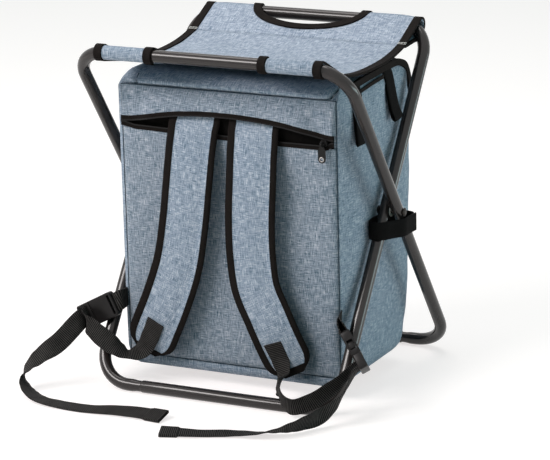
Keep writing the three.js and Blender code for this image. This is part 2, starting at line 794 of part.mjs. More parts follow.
function buckleSocket() {
  const [x, z] = [buckleWidth / 2, socketThickness / 2];
  const [cavityX, cavityZ] = [x - socketWall, cavityHeight / 2];
  const outline = new THREE.Shape();
  const corner = 5;
  outline.moveTo(-x + corner, 0);
  outline.lineTo(x - corner, 0);
  outline.quadraticCurveTo(x, 0, x, corner);
  outline.lineTo(x, socketLength);
  outline.lineTo(-x, socketLength);
  outline.lineTo(-x, corner);
  outline.quadraticCurveTo(-x, 0, -x + corner, 0);
  const shell = new THREE.ExtrudeGeometry(outline, {
    depth: 2 * z - 2,
    bevelThickness: 1,
    bevelSize: 1,
    bevelOffset: -1,
    bevelSegments: 1,
    curveSegments: 4,
  });
  let body = solid(shell.translate(0, 0, 1 - z));
  const mouth = block(point(-cavityX, socketBack, -cavityZ), point(cavityX, 2 * socketLength, cavityZ));
  const windows = block(point(-2 * x, windowStart, -cavityZ), point(2 * x, windowEnd, cavityZ));
  const slotEnd = socketBack - 2.6;
  const slot = block(point(-cavityX, slotEnd - ladderSlot, -2 * z), point(cavityX, slotEnd, 2 * z));
  for (const cut of [mouth, windows, slot]) body = body.subtract(solid(cut));
  return skinOf(body);
}

function bucklePlug() {
  const [x, z] = [buckleWidth / 2, plugThickness / 2];
  const [start, end] = [socketLength + gap, socketLength + plugLength];
  const armX = x - socketWall - plugPlay; // outside of an arm in the cavity
  const base = new THREE.Shape();
  base.moveTo(-x, start);
  base.lineTo(x, start);
  base.lineTo(x, end - 3);
  base.quadraticCurveTo(x, end, x - 4, end);
  base.lineTo(-x + 4, end);
  base.quadraticCurveTo(-x, end, -x, end - 3);
  const curveSegments = 4;
  const block1 = new THREE.ExtrudeGeometry(base, {
    depth: 2 * z - 2,
    bevelThickness: 1,
    bevelSize: 0.8,
    bevelOffset: -0.8,
    bevelSegments: 1,
    curveSegments,
  });
  let body = solid(block1.translate(0, 0, 1 - z));
  const armZ = cavityHeight / 2 - plugPlay;
  const shoulder = windowEnd - plugPlay;
  for (const side of [-1, 1]) {
    const arm = new THREE.Shape();
    const at = (px, py) => [side * px, py];
    arm.moveTo(...at(armX - armWidth, start + 2));
    arm.lineTo(...at(armX - armWidth, windowStart + 2));
    arm.lineTo(...at(armX - armWidth + 1, socketBack + 1.5));
    arm.lineTo(...at(armX - 1, socketBack + 1.5));
    arm.lineTo(...at(armX, windowStart + 1));
    arm.lineTo(...at(x - 0.6, windowStart + 4));
    arm.lineTo(...at(x - 0.6, shoulder - 1.2));
    arm.lineTo(...at(armX, shoulder));
    arm.lineTo(...at(armX, start + 2));
    body = body.add(solid(alongZ(arm, -armZ, armZ)));
  }
  const tongueTip = point(-tongueHalfWidth, socketBack + 2, -armZ);
  const tongue = block(tongueTip, point(tongueHalfWidth, start + 2, armZ));
  body = body.add(solid(tongue));
  for (const from of plugSlots) {
    const slotX = webbingWidth / 2 + 0.6;
    const low = point(-slotX, start + from, -2 * z);
    body = body.subtract(solid(block(low, point(slotX, start + from + ladderSlot, 2 * z))));
  }
  return skinOf(body);
}

// Group at a buckle's bag end, with its axis and the way that its face looks. The run and
// the tail go into the plug's slots on the face. The tab swings edgewise into the axis.
function buckleGroup(name, place, axis, facing, tabSwing) {
  const along = point(...axis).normalize();
  const out = point(...facing);
  out.addScaledVector(along, -out.dot(along)).normalize();
  const across = along.clone().cross(out);
  const group = new THREE.Group();
  group.position.copy(point(...place));
  group.quaternion.setFromRotationMatrix(new THREE.Matrix4().makeBasis(across, along, out));
  stool.add(group);
  add(`${name}_buckle_socket`, buckleSocket(), plasticBlack, group);
  add(`${name}_buckle_plug`, bucklePlug(), plasticBlack, group);
  const station = (x, y, z, turn = 0) => {
    const spot = group.position.clone().addScaledVector(along, y);
    spot.addScaledVector(across, x).addScaledVector(out, z);
    const width = across.clone().multiplyScalar(-Math.cos(turn));
    return [spot.toArray(), width.addScaledVector(along, -Math.sin(turn)).toArray()];
  };
  const swings = tabSwing ? [0.75, 0.5, 0.25, 0] : [0];
  const tab = swings.map((share) => {
    const turn = share * tabSwing;
    const back = webbingSetback + tabRadius * Math.sin(turn);
    return station(tabRadius * (1 - Math.cos(turn)), -back, 0, turn);
  });
  tab.push(station(0, -gap, 0));
  const [near, far] = plugSlots.map((from) => socketLength + gap + from + ladderSlot / 2);
  const lead = plugThickness / 2 + 5;
  return {
    tab,
    run: [station(0, near, lead), station(0, near, 0)],
    tail: [station(0, far, 0), station(0, far, lead)],
  };
}

const buckleZ = tabHeight - buckleDrop;
const leftPlace = [-(bagHalfWidth + leftBuckleAside), -(bagFront + leftBuckleAhead), buckleZ];
const rightPlace = [bagHalfWidth + rightBuckleAside, -(bagFront + rightBuckleAhead), buckleZ];
const leftBuckle = buckleGroup('left', leftPlace, [-0.879, -0.1, -0.466], [0.087, -0.992, 0.09], 0);
const rightBuckle = buckleGroup('right', rightPlace, [0.62, -0.25, -0.745], [-0.74, -0.5, -0.45], 1.35);

// Tabs sewn into the bag's front seams
const seamX = bagHalfWidth + 2 * gap + webbingThickness / 2;
const seamY = -(bagFront + gap);
const leftTab = [
  [[-seamX, seamY, tabHeight], [0, 0, -1]],
  [[-seamX - 0.2, seamY - 10, tabHeight - 0.2], [0.15, 0, -0.98]],
  [[-seamX - 1.6, seamY - 15, tabHeight - 0.6], [0.35, 0, -0.93]],
  ...leftBuckle.tab,
];
const rightTab = [
  [[seamX, seamY, tabHeight], [0, 0, 1]],
  [[seamX + 0.6, seamY - 8, tabHeight + 1], [0, 0, 1]],
  ...rightBuckle.tab,
];
add('left_buckle_tab', webbing(leftTab), webbingBlack);
add('right_buckle_tab', webbing(rightTab), webbingBlack);

// Webbing from each strap's end down and up to its buckle
const patchY = -(strapHang + strapThickness / 2 + gap + webbingThickness / 2);
const leftRun = [
  [[-102, patchY, 88], [0.92, 0, -0.39]],
  [[-112, patchY, 64], [0.92, 0, -0.39]],
  [[-119.5, patchY - 2.8, 49], [0.86, -0.22, -0.45]],
  [[-126, patchY - 11, 42], [0.75, -0.55, -0.36]],
  [[-133, patchY - 24, 42.5], [0.55, -0.76, -0.34]],
  [[-142, patchY - 33, 50], [0.12, -0.68, -0.72]],
  [[-158, patchY - 35, 59], [-0.3, -0.4, -0.86]],
  [[-181, patchY - 29, 72], [-0.2, -0.1, -0.97]],
  [[-192, patchY - 22, 79], [0.2, -0.1, -0.97]],
  ...leftBuckle.run,
];
const rightRun = [
  [[64, patchY, 78], [0.91, 0, 0.42]],
  [[76, patchY, 52], [0.91, 0, 0.42]],
  [[82, patchY - 6, 40], [0.86, -0.35, 0.36]],
  [[84, patchY - 16, 33], [0.6, -0.7, 0.35]],
  [[87, patchY - 28, 30.5], [0.45, -0.85, 0.3]],
  [[93, patchY - 42, 31], [0.4, -0.8, 0.45]],
  [[104, patchY - 58, 24], [0.35, -0.6, 0.7]],
  [[119, patchY - 64, 17], [0.2, -0.3, 0.93]],
  [[140, patchY - 56, 22], [0.1, -0.25, 0.96]],
  [[162, patchY - 46, 37], [0, -0.45, 0.9]],
  [[180, patchY - 35, 55], [0.1, -0.7, 0.7]],
  ...rightBuckle.run,
];
add('left_strap_webbing', webbing(leftRun), webbingBlack);
add('right_strap_webbing', webbing(rightRun), webbingBlack);

// Free tails, which reach the floor and lie on it to their hemmed ends
const leftTail = [
  ...leftBuckle.tail,
  [[-219.7, -170, 56], [0.68, 0.11, -0.72]],
  [[-238.2, -192, 40.1], [0.77, -0.5, -0.4]],
  [[-247.5, -200, 29.9], [0.73, -0.68, -0.02]],
  [[-250.6, -206, 19.5], [0.5, -0.84, 0.2]],
  [[-246, -211.5, 12.5], [0.1, -0.92, 0.36]],
  [[-239, -218.6, 8.6], [-0.2, -0.9, 0.36]],
  [[-228.6, -227.4, 5.7], [-0.3, -0.92, 0.24]],
  [[-208.8, -239, 3.2], [-0.3, -0.94, 0.1]],
  [[-182.2, -244.1, 2], [-0.15, -0.98, 0]],
  [[-156.6, -246.3, 1.7], [-0.05, -0.99, -0.04]],
  [[-135, -246.6, 1.9], [0, -0.99, -0.06]],
  [[-98.5, -243, 3.8], [0.02, -0.98, -0.16]],
  [[-72, -242.2, 4.8], [0, -0.97, -0.22]],
  [[-26, -246, 5.6], [0, -0.97, -0.25]],
];
const rightTail = [
  ...rightBuckle.tail,
  [[188, -153, 53], [0.3, -0.75, 0.6]],
  [[187, -163, 44], [0.45, -0.5, 0.72]],
  [[184, -173, 34], [0.5, -0.2, 0.83]],
  [[177, -184, 24], [0.4, 0, 0.9]],
  [[166, -199, 15], [0.2, 0, 0.98]],
  [[155.6, -221, 13], [0.37, -0.22, 0.9]],
  [[145, -237, 11.2], [0.42, -0.52, 0.74]],
  [[131.3, -246.6, 8.2], [0.37, -0.78, 0.5]],
  [[108.7, -254, 4.3], [0.16, -0.96, 0.2]],
  [[85, -257.4, 2.2], [0.25, -0.96, 0.08]],
  [[66, -263.6, 1.8], [0.35, -0.94, 0]],
  [[41, -274.2, 1.8], [0.42, -0.9, 0]],
  [[17, -284, 3.2], [0.4, -0.91, -0.07]],
  [[-6.5, -292.4, 4], [0.37, -0.92, -0.1]],
];
add('left_webbing_tail', webbing(leftTail, hemLength), webbingBlack);
add('right_webbing_tail', webbing(rightTail, hemLength), webbingBlack);

// Webbing loops sewn to the side panels, standing off them like belt loops
function sideLoop(side, middleY, low, high) {
  const foot = bagHalfWidth + gap;
  const sewn = 12;
  const rise = 10;
  const line = [
    [foot, low], [foot, low + sewn], [foot + loopStand, low + sewn + rise],
    [foot + loopStand, high - sewn - rise], [foot, high - sewn], [foot, high],
  ];
  const outer = line.map(([x, z], i) => {
    const steep = i === 1 || i === 4 ? 0.3 * loopThickness : 0;
    const push = i === 1 ? -steep : steep;
    return [x + loopThickness, z + push];
  });
  const shape = new THREE.Shape([...line, ...outer.reverse()].map(([x, z]) => new THREE.Vector2(x, z)));
  const geometry = new THREE.ExtrudeGeometry(shape, { depth: loopWidth, bevelEnabled: false });
  geometry.rotateX(Math.PI / 2).translate(0, middleY + loopWidth / 2, 0);
  return sealed(side > 0 ? geometry : geometry.scale(-1, 1, 1));
}

// Hook-and-loop band round both legs just under the pivot, with its free end past the loop
function frameBand(side) {
  const top = pivotHeight - bandBelowPivot;
  const low = top - bandHeight;
  const spread = (pivotHeight - low) * Math.tan(legTilt) + tubeRadius / Math.cos(legTilt);
  const [x0, x1] = [bagHalfWidth + gap, outerHalfWidth + tubeRadius + bandPlay + bandThickness];
  const y = spread + bandPlay + bandThickness;
  const rounded = (margin, radius) => {
    const [left, right, reach] = [x0 + margin, x1 - margin, y - margin];
    const corners = [[right, -reach, -0.5], [right, reach, 0], [left, reach, 0.5], [left, -reach, 1]];
    return corners.flatMap(([px, py, start]) => {
      const [cx, cy] = [px - Math.sign(px - (left + right) / 2) * radius, py - Math.sign(py) * radius];
      return [0, 1, 2, 3].map((i) => {
        const turn = Math.PI * (start + i / 6);
        return new THREE.Vector2(cx + radius * Math.cos(turn), cy + radius * Math.sin(turn));
      });
    });
  };
  const ring = new THREE.Shape(rounded(0, 6));
  ring.holes.push(new THREE.Path(rounded(bandThickness, 6 - bandThickness)));
  const tail = block(point(x1 - 0.4, 0, low), point(x1 - 0.4 + bandThickness, y + bandTail, top));
  const band = skinOf(solid(alongZ(ring, low, top)).add(solid(tail)));
  return sealed(side > 0 ? band : band.scale(-1, 1, 1));
}

for (const [sideName, side] of [['left', -1], ['right', 1]]) {
  const loopTop = bagTop - loopDrop;
  const rearLoop = sideLoop(side, rearLoopY, loopTop - rearLoopLength, loopTop);
  const frontLoop = sideLoop(side, frontLoopY, loopTop - frontLoopLength, loopTop);
  add(`${sideName}_rear_loop`, rearLoop, webbingBlack);
  add(`${sideName}_front_loop`, frontLoop, webbingBlack);
  add(`${sideName}_frame_band`, frameBand(side), webbingBlack);
}

export default stool;
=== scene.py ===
import bpy
import bmesh
from math import copysign, cos, dist, exp, pi, radians, sin, sqrt
from mathutils import Matrix, Vector, noise
from mathutils.bvhtree import BVHTree


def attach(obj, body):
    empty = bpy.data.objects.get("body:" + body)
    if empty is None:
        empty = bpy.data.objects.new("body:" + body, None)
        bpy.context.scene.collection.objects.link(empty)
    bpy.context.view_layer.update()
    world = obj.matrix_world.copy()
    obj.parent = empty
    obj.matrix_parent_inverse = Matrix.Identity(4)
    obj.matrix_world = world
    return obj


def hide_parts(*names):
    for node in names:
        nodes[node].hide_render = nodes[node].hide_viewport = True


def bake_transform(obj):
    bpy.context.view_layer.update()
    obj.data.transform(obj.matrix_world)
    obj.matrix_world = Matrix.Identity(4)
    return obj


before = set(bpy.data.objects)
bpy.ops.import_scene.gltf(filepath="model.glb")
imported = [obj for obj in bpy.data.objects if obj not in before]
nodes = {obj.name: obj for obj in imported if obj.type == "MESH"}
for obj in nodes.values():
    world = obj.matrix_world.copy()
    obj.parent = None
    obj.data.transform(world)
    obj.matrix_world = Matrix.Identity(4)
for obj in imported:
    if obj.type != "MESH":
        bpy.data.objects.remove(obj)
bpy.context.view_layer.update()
mm = 0.001
sides = {"left": -1, "right": 1}
print("frame loaded:", len(nodes), "nodes")

# camera: where the photograph was taken from, in mm and degrees
view = {
    "azimuth": 26.17, "elevation": 15.33, "roll": -1.32, "distance": 3698.2,
    "aim": (0, 0, 200), "slide": (26.93, -7.16), "lens": 186.55, "shift": (-0.02129, -0.01018),
    "sensor": 36, "clip": (0.1, 60),
}


def placeCamera():
    az, el, roll = (radians(view[k]) for k in ("azimuth", "elevation", "roll"))
    back = Vector((sin(az) * cos(el), -cos(az) * cos(el), sin(el)))
    right = Vector((cos(az), sin(az), 0))
    up = back.cross(right)
    aside, higher = view["slide"]
    spot = Vector(view["aim"]) + back * view["distance"] + right * aside + up * higher
    across = right * cos(roll) + up * sin(roll)
    above = up * cos(roll) - right * sin(roll)
    data = bpy.data.cameras.new("photo_camera")
    data.sensor_fit, data.sensor_width = "HORIZONTAL", view["sensor"]
    data.lens = view["lens"]
    data.shift_x, data.shift_y = view["shift"]
    data.clip_start, data.clip_end = view["clip"]
    camera = bpy.data.objects.new("photo_camera", data)
    bpy.context.scene.collection.objects.link(camera)
    turned = Matrix((across, above, back)).transposed().to_4x4()
    camera.matrix_world = Matrix.Translation(spot * mm) @ turned
    bpy.context.scene.camera = camera


placeCamera()


# a socket that takes part in sums; each sum adds a Math node
class Wire:
    def __init__(self, finish, socket):
        self.finish, self.socket = finish, socket

    def out(self, name):
        return Wire(self.finish, self.socket.node.outputs[name])

    def sum(self, operation, first, second):
        return self.finish.node("ShaderNodeMath", {"operation": operation}, {0: first, 1: second})

    def least(self, other):
        return self.sum("MINIMUM", self, other)

    def most(self, other):
        return self.sum("MAXIMUM", self, other)

    def __add__(self, other):
        return self.sum("ADD", self, other)

    def __radd__(self, other):
        return self.sum("ADD", other, self)

    def __sub__(self, other):
        return self.sum("SUBTRACT", self, other)

    def __rsub__(self, other):
        return self.sum("SUBTRACT", other, self)

    def __mul__(self, other):
        return self.sum("MULTIPLY", self, other)

    def __rmul__(self, other):
        return self.sum("MULTIPLY", other, self)


# nodes of a material or world: node() adds any node, settings first, then socket values or links
class Finish:
    wavePeriod = 0.314159  # of a wave texture at scale 1

    def __init__(self, name, kind="materials"):
        self.owner = getattr(bpy.data, kind).new(name)
        self.owner.use_nodes = True
        self.tree = self.owner.node_tree
        self.tree.nodes.clear()

    def node(self, kind, settings=None, sockets=None):
        made = self.tree.nodes.new(kind)
        for key, value in (settings or {}).items():
            if key == "stops":
                while len(made.color_ramp.elements) < len(value):
                    made.color_ramp.elements.new(0.5)
                for element, (place, colour) in zip(made.color_ramp.elements, value):
                    element.position, element.color = place, (*colour, 1)
            else:
                setattr(made, key, value)
        for key, value in (sockets or {}).items():
            if isinstance(value, Wire):
                self.tree.links.new(value.socket, made.inputs[key])
            else:
                made.inputs[key].default_value = value
        return Wire(self, made.outputs[0]) if made.outputs else None

    def show(self, shader, output="ShaderNodeOutputMaterial"):
        self.node(output, {}, {"Surface": shader})
        return self.owner

    def principled(self, **sockets):
        named = {key.replace("_", " "): value for key, value in sockets.items()}
        return self.node("ShaderNodeBsdfPrincipled", {}, named)

    def paint(self, **sockets):
        return self.show(self.principled(**sockets))

    def mix(self, share, first, second):
        return self.node("ShaderNodeMixShader", {}, {0: share, 1: first, 2: second})

    def scaled(self, place, scale):
        return self.node("ShaderNodeMapping", {}, {"Vector": place, "Scale": scale})

    def uv(self, across, along):
        return self.scaled(self.node("ShaderNodeUVMap", {"uv_map": "UVMap"}), (across, along, 1))

    def object(self, x, y, z):
        return self.scaled(self.node("ShaderNodeTexCoord").out("Object"), (x, y, z))

    def noise(self, place, detail, roughness):
        sockets = {"Vector": place, "Scale": 1, "Detail": detail, "Roughness": roughness}
        return self.node("ShaderNodeTexNoise", {}, sockets)

    def grain(self, scale, detail, roughness):
        return self.noise(self.object(scale, scale, scale), detail, roughness)

    # noise drawn out along one thread, and the same along the other
    def slubs(self, long, fine):
        return [self.noise(self.uv(*scale), 1, 0.5) for scale in ((long, fine), (fine, long))]

    def ribs(self, way, pitch):
        place = self.uv(way == "X", way == "Y")
        sockets = {"Vector": place, "Scale": self.wavePeriod / pitch}
        return self.node("ShaderNodeTexWave", {"bands_direction": way}, sockets)

    def ramp(self, factor, stops):
        return self.node("ShaderNodeValToRGB", {"stops": stops}, {"Fac": factor})

    # one colour made darker and lighter, each as a place on the ramp and a share of the colour
    def tones(self, factor, colour, *shares):
        return self.ramp(factor, [(place, tuple(c * share for c in colour)) for place, share in shares])

    def bump(self, height, strength, distance):
        sockets = {"Height": height, "Strength": strength, "Distance": distance}
        return self.node("ShaderNodeBump", {}, sockets)


def srgb(*colour):
    shares = [c / 255 for c in colour]
    return tuple(c / 12.92 if c <= 0.04045 else ((c + 0.055) / 1.055) ** 2.4 for c in shares)


# heathered cloth: dark and pale slubs run both ways as short dashes over a fine plain weave
weave = {"slub": (95, 1160), "paleSlub": (85, 1020), "blotch": 22, "thread": 0.0009}


def heather(name, dark, middle, light):
    f = Finish(name)
    weft, warp = f.slubs(*weave["slub"])
    paleWeft, paleWarp = f.slubs(*weave["paleSlub"])
    blotch = f.noise(f.uv(weave["blotch"], weave["blotch"]), 3, 0.6)
    deep, pale = weft.least(warp), paleWeft.most(paleWarp)
    slubs = (deep + pale) * 0.5 + (blotch - 0.5) * 0.07
    height = deep + pale + f.ribs("X", weave["thread"]) * f.ribs("Y", weave["thread"]) * 0.35
    return f.paint(
        Base_Color=f.ramp(slubs, [(0.34, dark), (0.5, middle), (0.66, light)]),
        Roughness=0.9 - pale * 0.1, Normal=f.bump(height, 0.35, 0.0005),
        Sheen_Weight=0.08, Sheen_Roughness=0.5, Specular_IOR_Level=0.08,
    )


# ribbed black tape and webbing: ribs run over the width, one for each pitch of length; the ribs are
# painted lighter as a painted highlight on their tops, with yarn and blotch tone mixed in
def ribbed(name, colour, paleAndRibHighlight, pitch, depth, rough):
    f = Finish(name)
    ribs = f.ribs("Y", pitch)
    yarn, blotch = f.noise(f.uv(2600, 320), 2, 0.6), f.noise(f.uv(60, 60), 3, 0.6)
    # ribs lift the tone towards the pale colour: painted highlight on the rib tops, with random yarn and
    # blotch tone
    tone = yarn * 0.3 + ribs * 0.45 + blotch * 0.25
    return f.paint(
        Base_Color=f.ramp(tone, [(0.32, colour), (0.74, paleAndRibHighlight)]), Roughness=rough + (yarn - 0.5) * 0.2,
        Normal=f.bump(ribs * 0.7 + yarn * 0.5, 0.7, depth), Specular_IOR_Level=0.03,
    )


def satinPaint(name, colour):
    f = Finish(name)
    cloud, grain = f.grain(28, 4, 0.6), f.grain(1500, 2, 0.5)
    return f.paint(
        Base_Color=f.tones(cloud, colour, (0.3, 0.88), (0.72, 1.12)),
        Roughness=0.1 + cloud * 0.05 + grain * 0.05,
        Normal=f.bump(grain, 0.04, 0.0002), Specular_IOR_Level=0.4,
    )


def moulded(name, colour, rough):
    f = Finish(name)
    grain, cloud = f.grain(900, 3, 0.6), f.grain(60, 2, 0.5)
    return f.paint(
        Base_Color=f.tones(cloud, colour, (0.3, 0.8), (0.75, 1.35)), Roughness=rough + grain * 0.12,
        Normal=f.bump(grain, 0.18, 0.0003), Specular_IOR_Level=0.2,
    )


def bareMetal(name, colour, rough):
    f = Finish(name)
    turned = f.noise(f.object(2200, 300, 300), 3, 0.6)
    return f.paint(
        Base_Color=f.tones(turned, colour, (0.3, 0.82), (0.7, 1)), Roughness=rough + turned * 0.15,
        Normal=f.bump(turned, 0.08, 0.0002), Metallic=1.0,
    )


def crinkledFoil(name, dark, light):
    f = Finish(name)
    sockets = {"Vector": f.object(38, 38, 38), "Scale": 1.0}
    crease = f.node("ShaderNodeTexVoronoi", {"feature": "DISTANCE_TO_EDGE"}, sockets)
    swell = f.grain(30, 4, 0.6)
    return f.paint(
        Base_Color=f.ramp(swell, [(0.3, dark), (0.7, light)]), Roughness=0.24 + swell * 0.2,
        Normal=f.bump(crease + swell, 0.5, 0.002), Metallic=0.9,
    )


def plainThread(name, colour):
    f = Finish(name)
    twist = f.grain(3000, 2, 0.5)
    shade = f.tones(twist, colour, (0.3, 0.75), (0.7, 1))
    return f.paint(Base_Color=shade, Roughness=0.8, Normal=f.bump(twist, 0.3, 0.0002))


clothBlue = heather("heather_blue", srgb(62, 88, 106), srgb(133, 145, 161), srgb(198, 202, 212))
# the pocket's panel and band in a darker copy of the same heather: painted shade under the seat and
# beside the straps
clothPanelShaded = heather("heather_panel_shaded", srgb(56, 80, 95), srgb(124, 135, 148), srgb(190, 192, 202))
# the seat's top in a lighter copy of the same heather: painted light where it faces the lamps
clothSeatLit = heather("heather_seat_lit", srgb(78, 99, 118), srgb(148, 157, 174), srgb(208, 214, 224))
bindingBlack = ribbed("binding_tape", srgb(8, 7, 7), srgb(40, 35, 33), 0.0011, 0.0003, 0.66)
webbingBlack = ribbed("black_webbing", srgb(4, 4, 4), srgb(72, 69, 68), 0.0024, 0.0008, 0.6)
loopBlack = ribbed("loop_webbing", srgb(4, 4, 4), srgb(28, 27, 27), 0.0011, 0.0003, 0.7)
# black for a sheet behind the pocket's mouth: painted shade of the pocket's inside
mouthShadeBlack = ribbed("mouth_shade_black", srgb(10, 9, 9), srgb(26, 24, 23), 0.0016, 0.0003, 0.8)
# dark blue-grey for thin lines of painted shade in seams and creases
seamShade = ribbed("seam_shadow", srgb(36, 48, 56), srgb(62, 76, 86), 0.0022, 0.0003, 0.85)
gunmetal = satinPaint("gunmetal_paint", srgb(40, 35, 34))
buckleBlack = moulded("buckle_plastic", srgb(24, 22, 22), 0.32)
zipBlack = moulded("zip_plastic", srgb(18, 17, 17), 0.4)
boardGrey = moulded("board_plastic", srgb(70, 72, 74), 0.55)
nylonWasher = moulded("washer_nylon", srgb(196, 192, 186), 0.5)
rivetMetal = bareMetal("rivet_metal", srgb(46, 43, 41), 0.34)
eyeletMetal = bareMetal("eyelet_metal", srgb(168, 165, 162), 0.28)
foilSilver = crinkledFoil("foil_facing", srgb(176, 178, 181), srgb(222, 223, 225))
threadWhite = plainThread("white_thread", srgb(214, 212, 208))
threadBlue = plainThread("blue_thread", srgb(156, 169, 184))
print("finishes made:", len(bpy.data.materials))


def vec(x, y, z):
    return Vector((x, y, z)) * mm


def ease(a, b, x):
    t = min(1.0, max(0.0, (x - a) / (b - a)))
    return t * t * (3 - 2 * t)


def spread(a, b, count):
    return [a + (b - a) * k / count for k in range(count + 1)]


# point on a circle, by degrees
def onArc(x, y, radius, turn):
    return x + radius * cos(radians(turn)), y + radius * sin(radians(turn))


def bell(x, width):
    return exp(-(x / width) ** 2)


def wobble(x, y, z, scale, seed):
    return noise.noise(Vector((x / scale + seed, y / scale + seed * 0.7, z / scale - seed)))


# value at x on straight lines between the pairs of a table
def onTable(table, x):
    for (a, p), (b, q) in zip(table, table[1:]):
        if x <= b:
            return p + (q - p) * max(0.0, x - a) / (b - a)
    return table[-1][1]


# lengths from the first of some points to each
def reaches(points):
    reach = [0.0]
    for a, b in zip(points, points[1:]):
        reach.append(reach[-1] + dist(a, b))
    return reach


# close points on a smooth line through the given ones, with a second vector carried along
def flow(stops, step):
    points = [Vector(p) for p, w in stops]
    widths = [Vector(w).normalized() for p, w in stops]
    spans = [max(1e-6, (b - a).length) for a, b in zip(points, points[1:])]
    ways = [(b - a) / span for a, b, span in zip(points, points[1:], spans)]
    slopes = [ways[0]]
    for (before, after), (short, long) in zip(zip(ways, ways[1:]), zip(spans, spans[1:])):
        slopes.append((before * long + after * short) / (long + short))
    slopes.append(ways[-1])
    line = []
    for i, span in enumerate(spans):
        count = max(1, round(span / step))
        for k in range(count + (i == len(spans) - 1)):
            t = k / count
            a, b = 2 * t ** 3 - 3 * t ** 2 + 1, t ** 3 - 2 * t ** 2 + t
            c, d = 3 * t ** 2 - 2 * t ** 3, t ** 3 - t ** 2
            near = points[i] * a + slopes[i] * (b * span)
            spot = near + points[i + 1] * c + slopes[i + 1] * (d * span)
            line.append((spot, widths[i].lerp(widths[i + 1], c).normalized()))
    return line


def heading(points, i):
    return (points[min(i + 1, len(points) - 1)] - points[max(i - 1, 0)]).normalized()


def newVerts(geom):
    return [g for g in geom if isinstance(g, bmesh.types.BMVert)]


# skin through rings of equally many points in mm, row by row, with UVs in metres
def loft(rings, closed=True, finish=None):
    bm = bmesh.new()
    uv = bm.loops.layers.uv.new("UVMap")
    count = len(rings[0])
    row = [bm.verts.new(p * mm) for p in rings[0]]
    rows = [row]
    pairs = [(i, (i + 1) % count) for i in range(count if closed else count - 1)]
    edges = [bm.edges.new((row[i], row[j])) for i, j in pairs]
    for ring in rings[1:]:
        fresh = set(newVerts(bmesh.ops.extrude_edge_only(bm, edges=edges)["geom"]))
        row = [next(e.other_vert(v) for e in v.link_edges if e.other_vert(v) in fresh) for v in row]
        for v, p in zip(row, ring):
            v.co = p * mm
        edges = [bm.edges.get((row[i], row[j])) for i, j in pairs]
        rows.append(row)
    place = {v: (r, i) for r, row in enumerate(rows) for i, v in enumerate(row)}
    length = [0.0]
    for a, b in zip(rings, rings[1:]):
        length.append(length[-1] + sum(map(dist, a, b)) / count * mm)
    girth = [[run * mm for run in reaches(ring + ring[:1])] for ring in rings]
    for face in bm.faces:
        spots = [place[loop.vert] for loop in face.loops]
        columns = [i for r, i in spots]
        wraps = closed and max(columns) == count - 1 and min(columns) == 0
        for loop, (r, i) in zip(face.loops, spots):
            loop[uv].uv = (girth[r][count if wraps and i == 0 else i], length[r])
        if finish:
            face.material_index = finish(min(spots)[0], count - 1 if wraps else min(columns))
    if closed:
        for row, r in ((rows[0], 0), (rows[-1], len(rows) - 2)):
            cap = bm.faces.new(row)
            for loop in cap.loops:
                loop[uv].uv = (loop.vert.co.x, loop.vert.co.z + loop.vert.co.y)
            if finish:
                cap.material_index = finish(r, 0)
    return bm


# UVs in metres by the way that each face looks, for cloth panels
def panelUv(bm):
    uv = bm.loops.layers.uv.get("UVMap") or bm.loops.layers.uv.new("UVMap")
    for face in bm.faces:
        n = face.normal
        for loop in face.loops:
            x, y, z = loop.vert.co
            if abs(n.z) > max(abs(n.x), abs(n.y)):
                loop[uv].uv = (x, y)
            elif abs(n.x) > abs(n.y):
                loop[uv].uv = (y, z)
            else:
                loop[uv].uv = (x, z)


def meshObject(name, bm, finishes):
    mesh = bpy.data.meshes.new(name)
    bm.to_mesh(mesh)
    bm.free()
    for finish in finishes:
        mesh.materials.append(finish)
    made = bpy.data.objects.new(name, mesh)
    bpy.context.scene.collection.objects.link(made)
    return made


# elements in the order of their places, since the operators' own order changes from run to run
def settle(elements, place):
    rank = {element: i for i, element in enumerate(sorted(elements, key=place))}
    elements.sort(key=rank.get)


# a visible piece; faces out, smooth apart from edges sharper than the angle
def piece(name, bm, finishes, body=None, stands=(), slot=None, sharp=60, outward=True):
    if outward:
        bmesh.ops.recalc_face_normals(bm, faces=bm.faces)
    settle(bm.verts, lambda v: tuple(v.co))
    settle(bm.faces, lambda f: tuple(f.calc_center_median()))
    made = meshObject(name, bm, finishes if isinstance(finishes, list) else [finishes])
    made.data.shade_smooth()
    made.data.set_sharp_from_angle(angle=radians(sharp))
    if stands:
        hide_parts(*stands)
    if body:
        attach(made, body)
    return made


# studio: white floor that keeps the shadow, white surround for the camera, soft light; m
warmWhite = (1, 0.946, 0.936)
studio = {
    "sky": 0.24, "cool": (0.53, 1, 0.99, 1), "floor": (0.97, 0.93, 0.92, 1), "glow": (1, 0.94, 0.93, 1),
    "floorShare": 0.52, "floorLift": 0.37, "floorSize": 14, "floorDrop": 0.0004, "aim": (0, 0, 0.2),
    "lamps": [
        ("key_light", (-1.5, -2.2, 2.36), (2.3, 1.1), 109, warmWhite),
        ("top_light", (-0.3, 0.5, 2.6), (1.6, 1.6), 30, warmWhite),
        ("side_light", (1.75, 0.65, 0.3), (1.3, 0.5), 9.6, (0.8, 1, 1.01)),
    ],
}


def lamp(name, place, size, power, colour):
    data = bpy.data.lights.new(name, "AREA")
    data.shape = "RECTANGLE"
    data.size, data.size_y = size
    data.energy, data.color = power, colour
    light = bpy.data.objects.new(name, data)
    bpy.context.scene.collection.objects.link(light)
    light.location = place
    light.rotation_euler = (Vector(place) - Vector(studio["aim"])).to_track_quat("Z", "Y").to_euler()


# 1 for the rays that show the surround, 0 for those that carry light to the object
def seenRays(f):
    path = f.node("ShaderNodeLightPath")
    seen = path.out("Is Camera Ray").most(path.out("Is Glossy Ray"))
    return seen.most(path.out("Is Transmission Ray"))


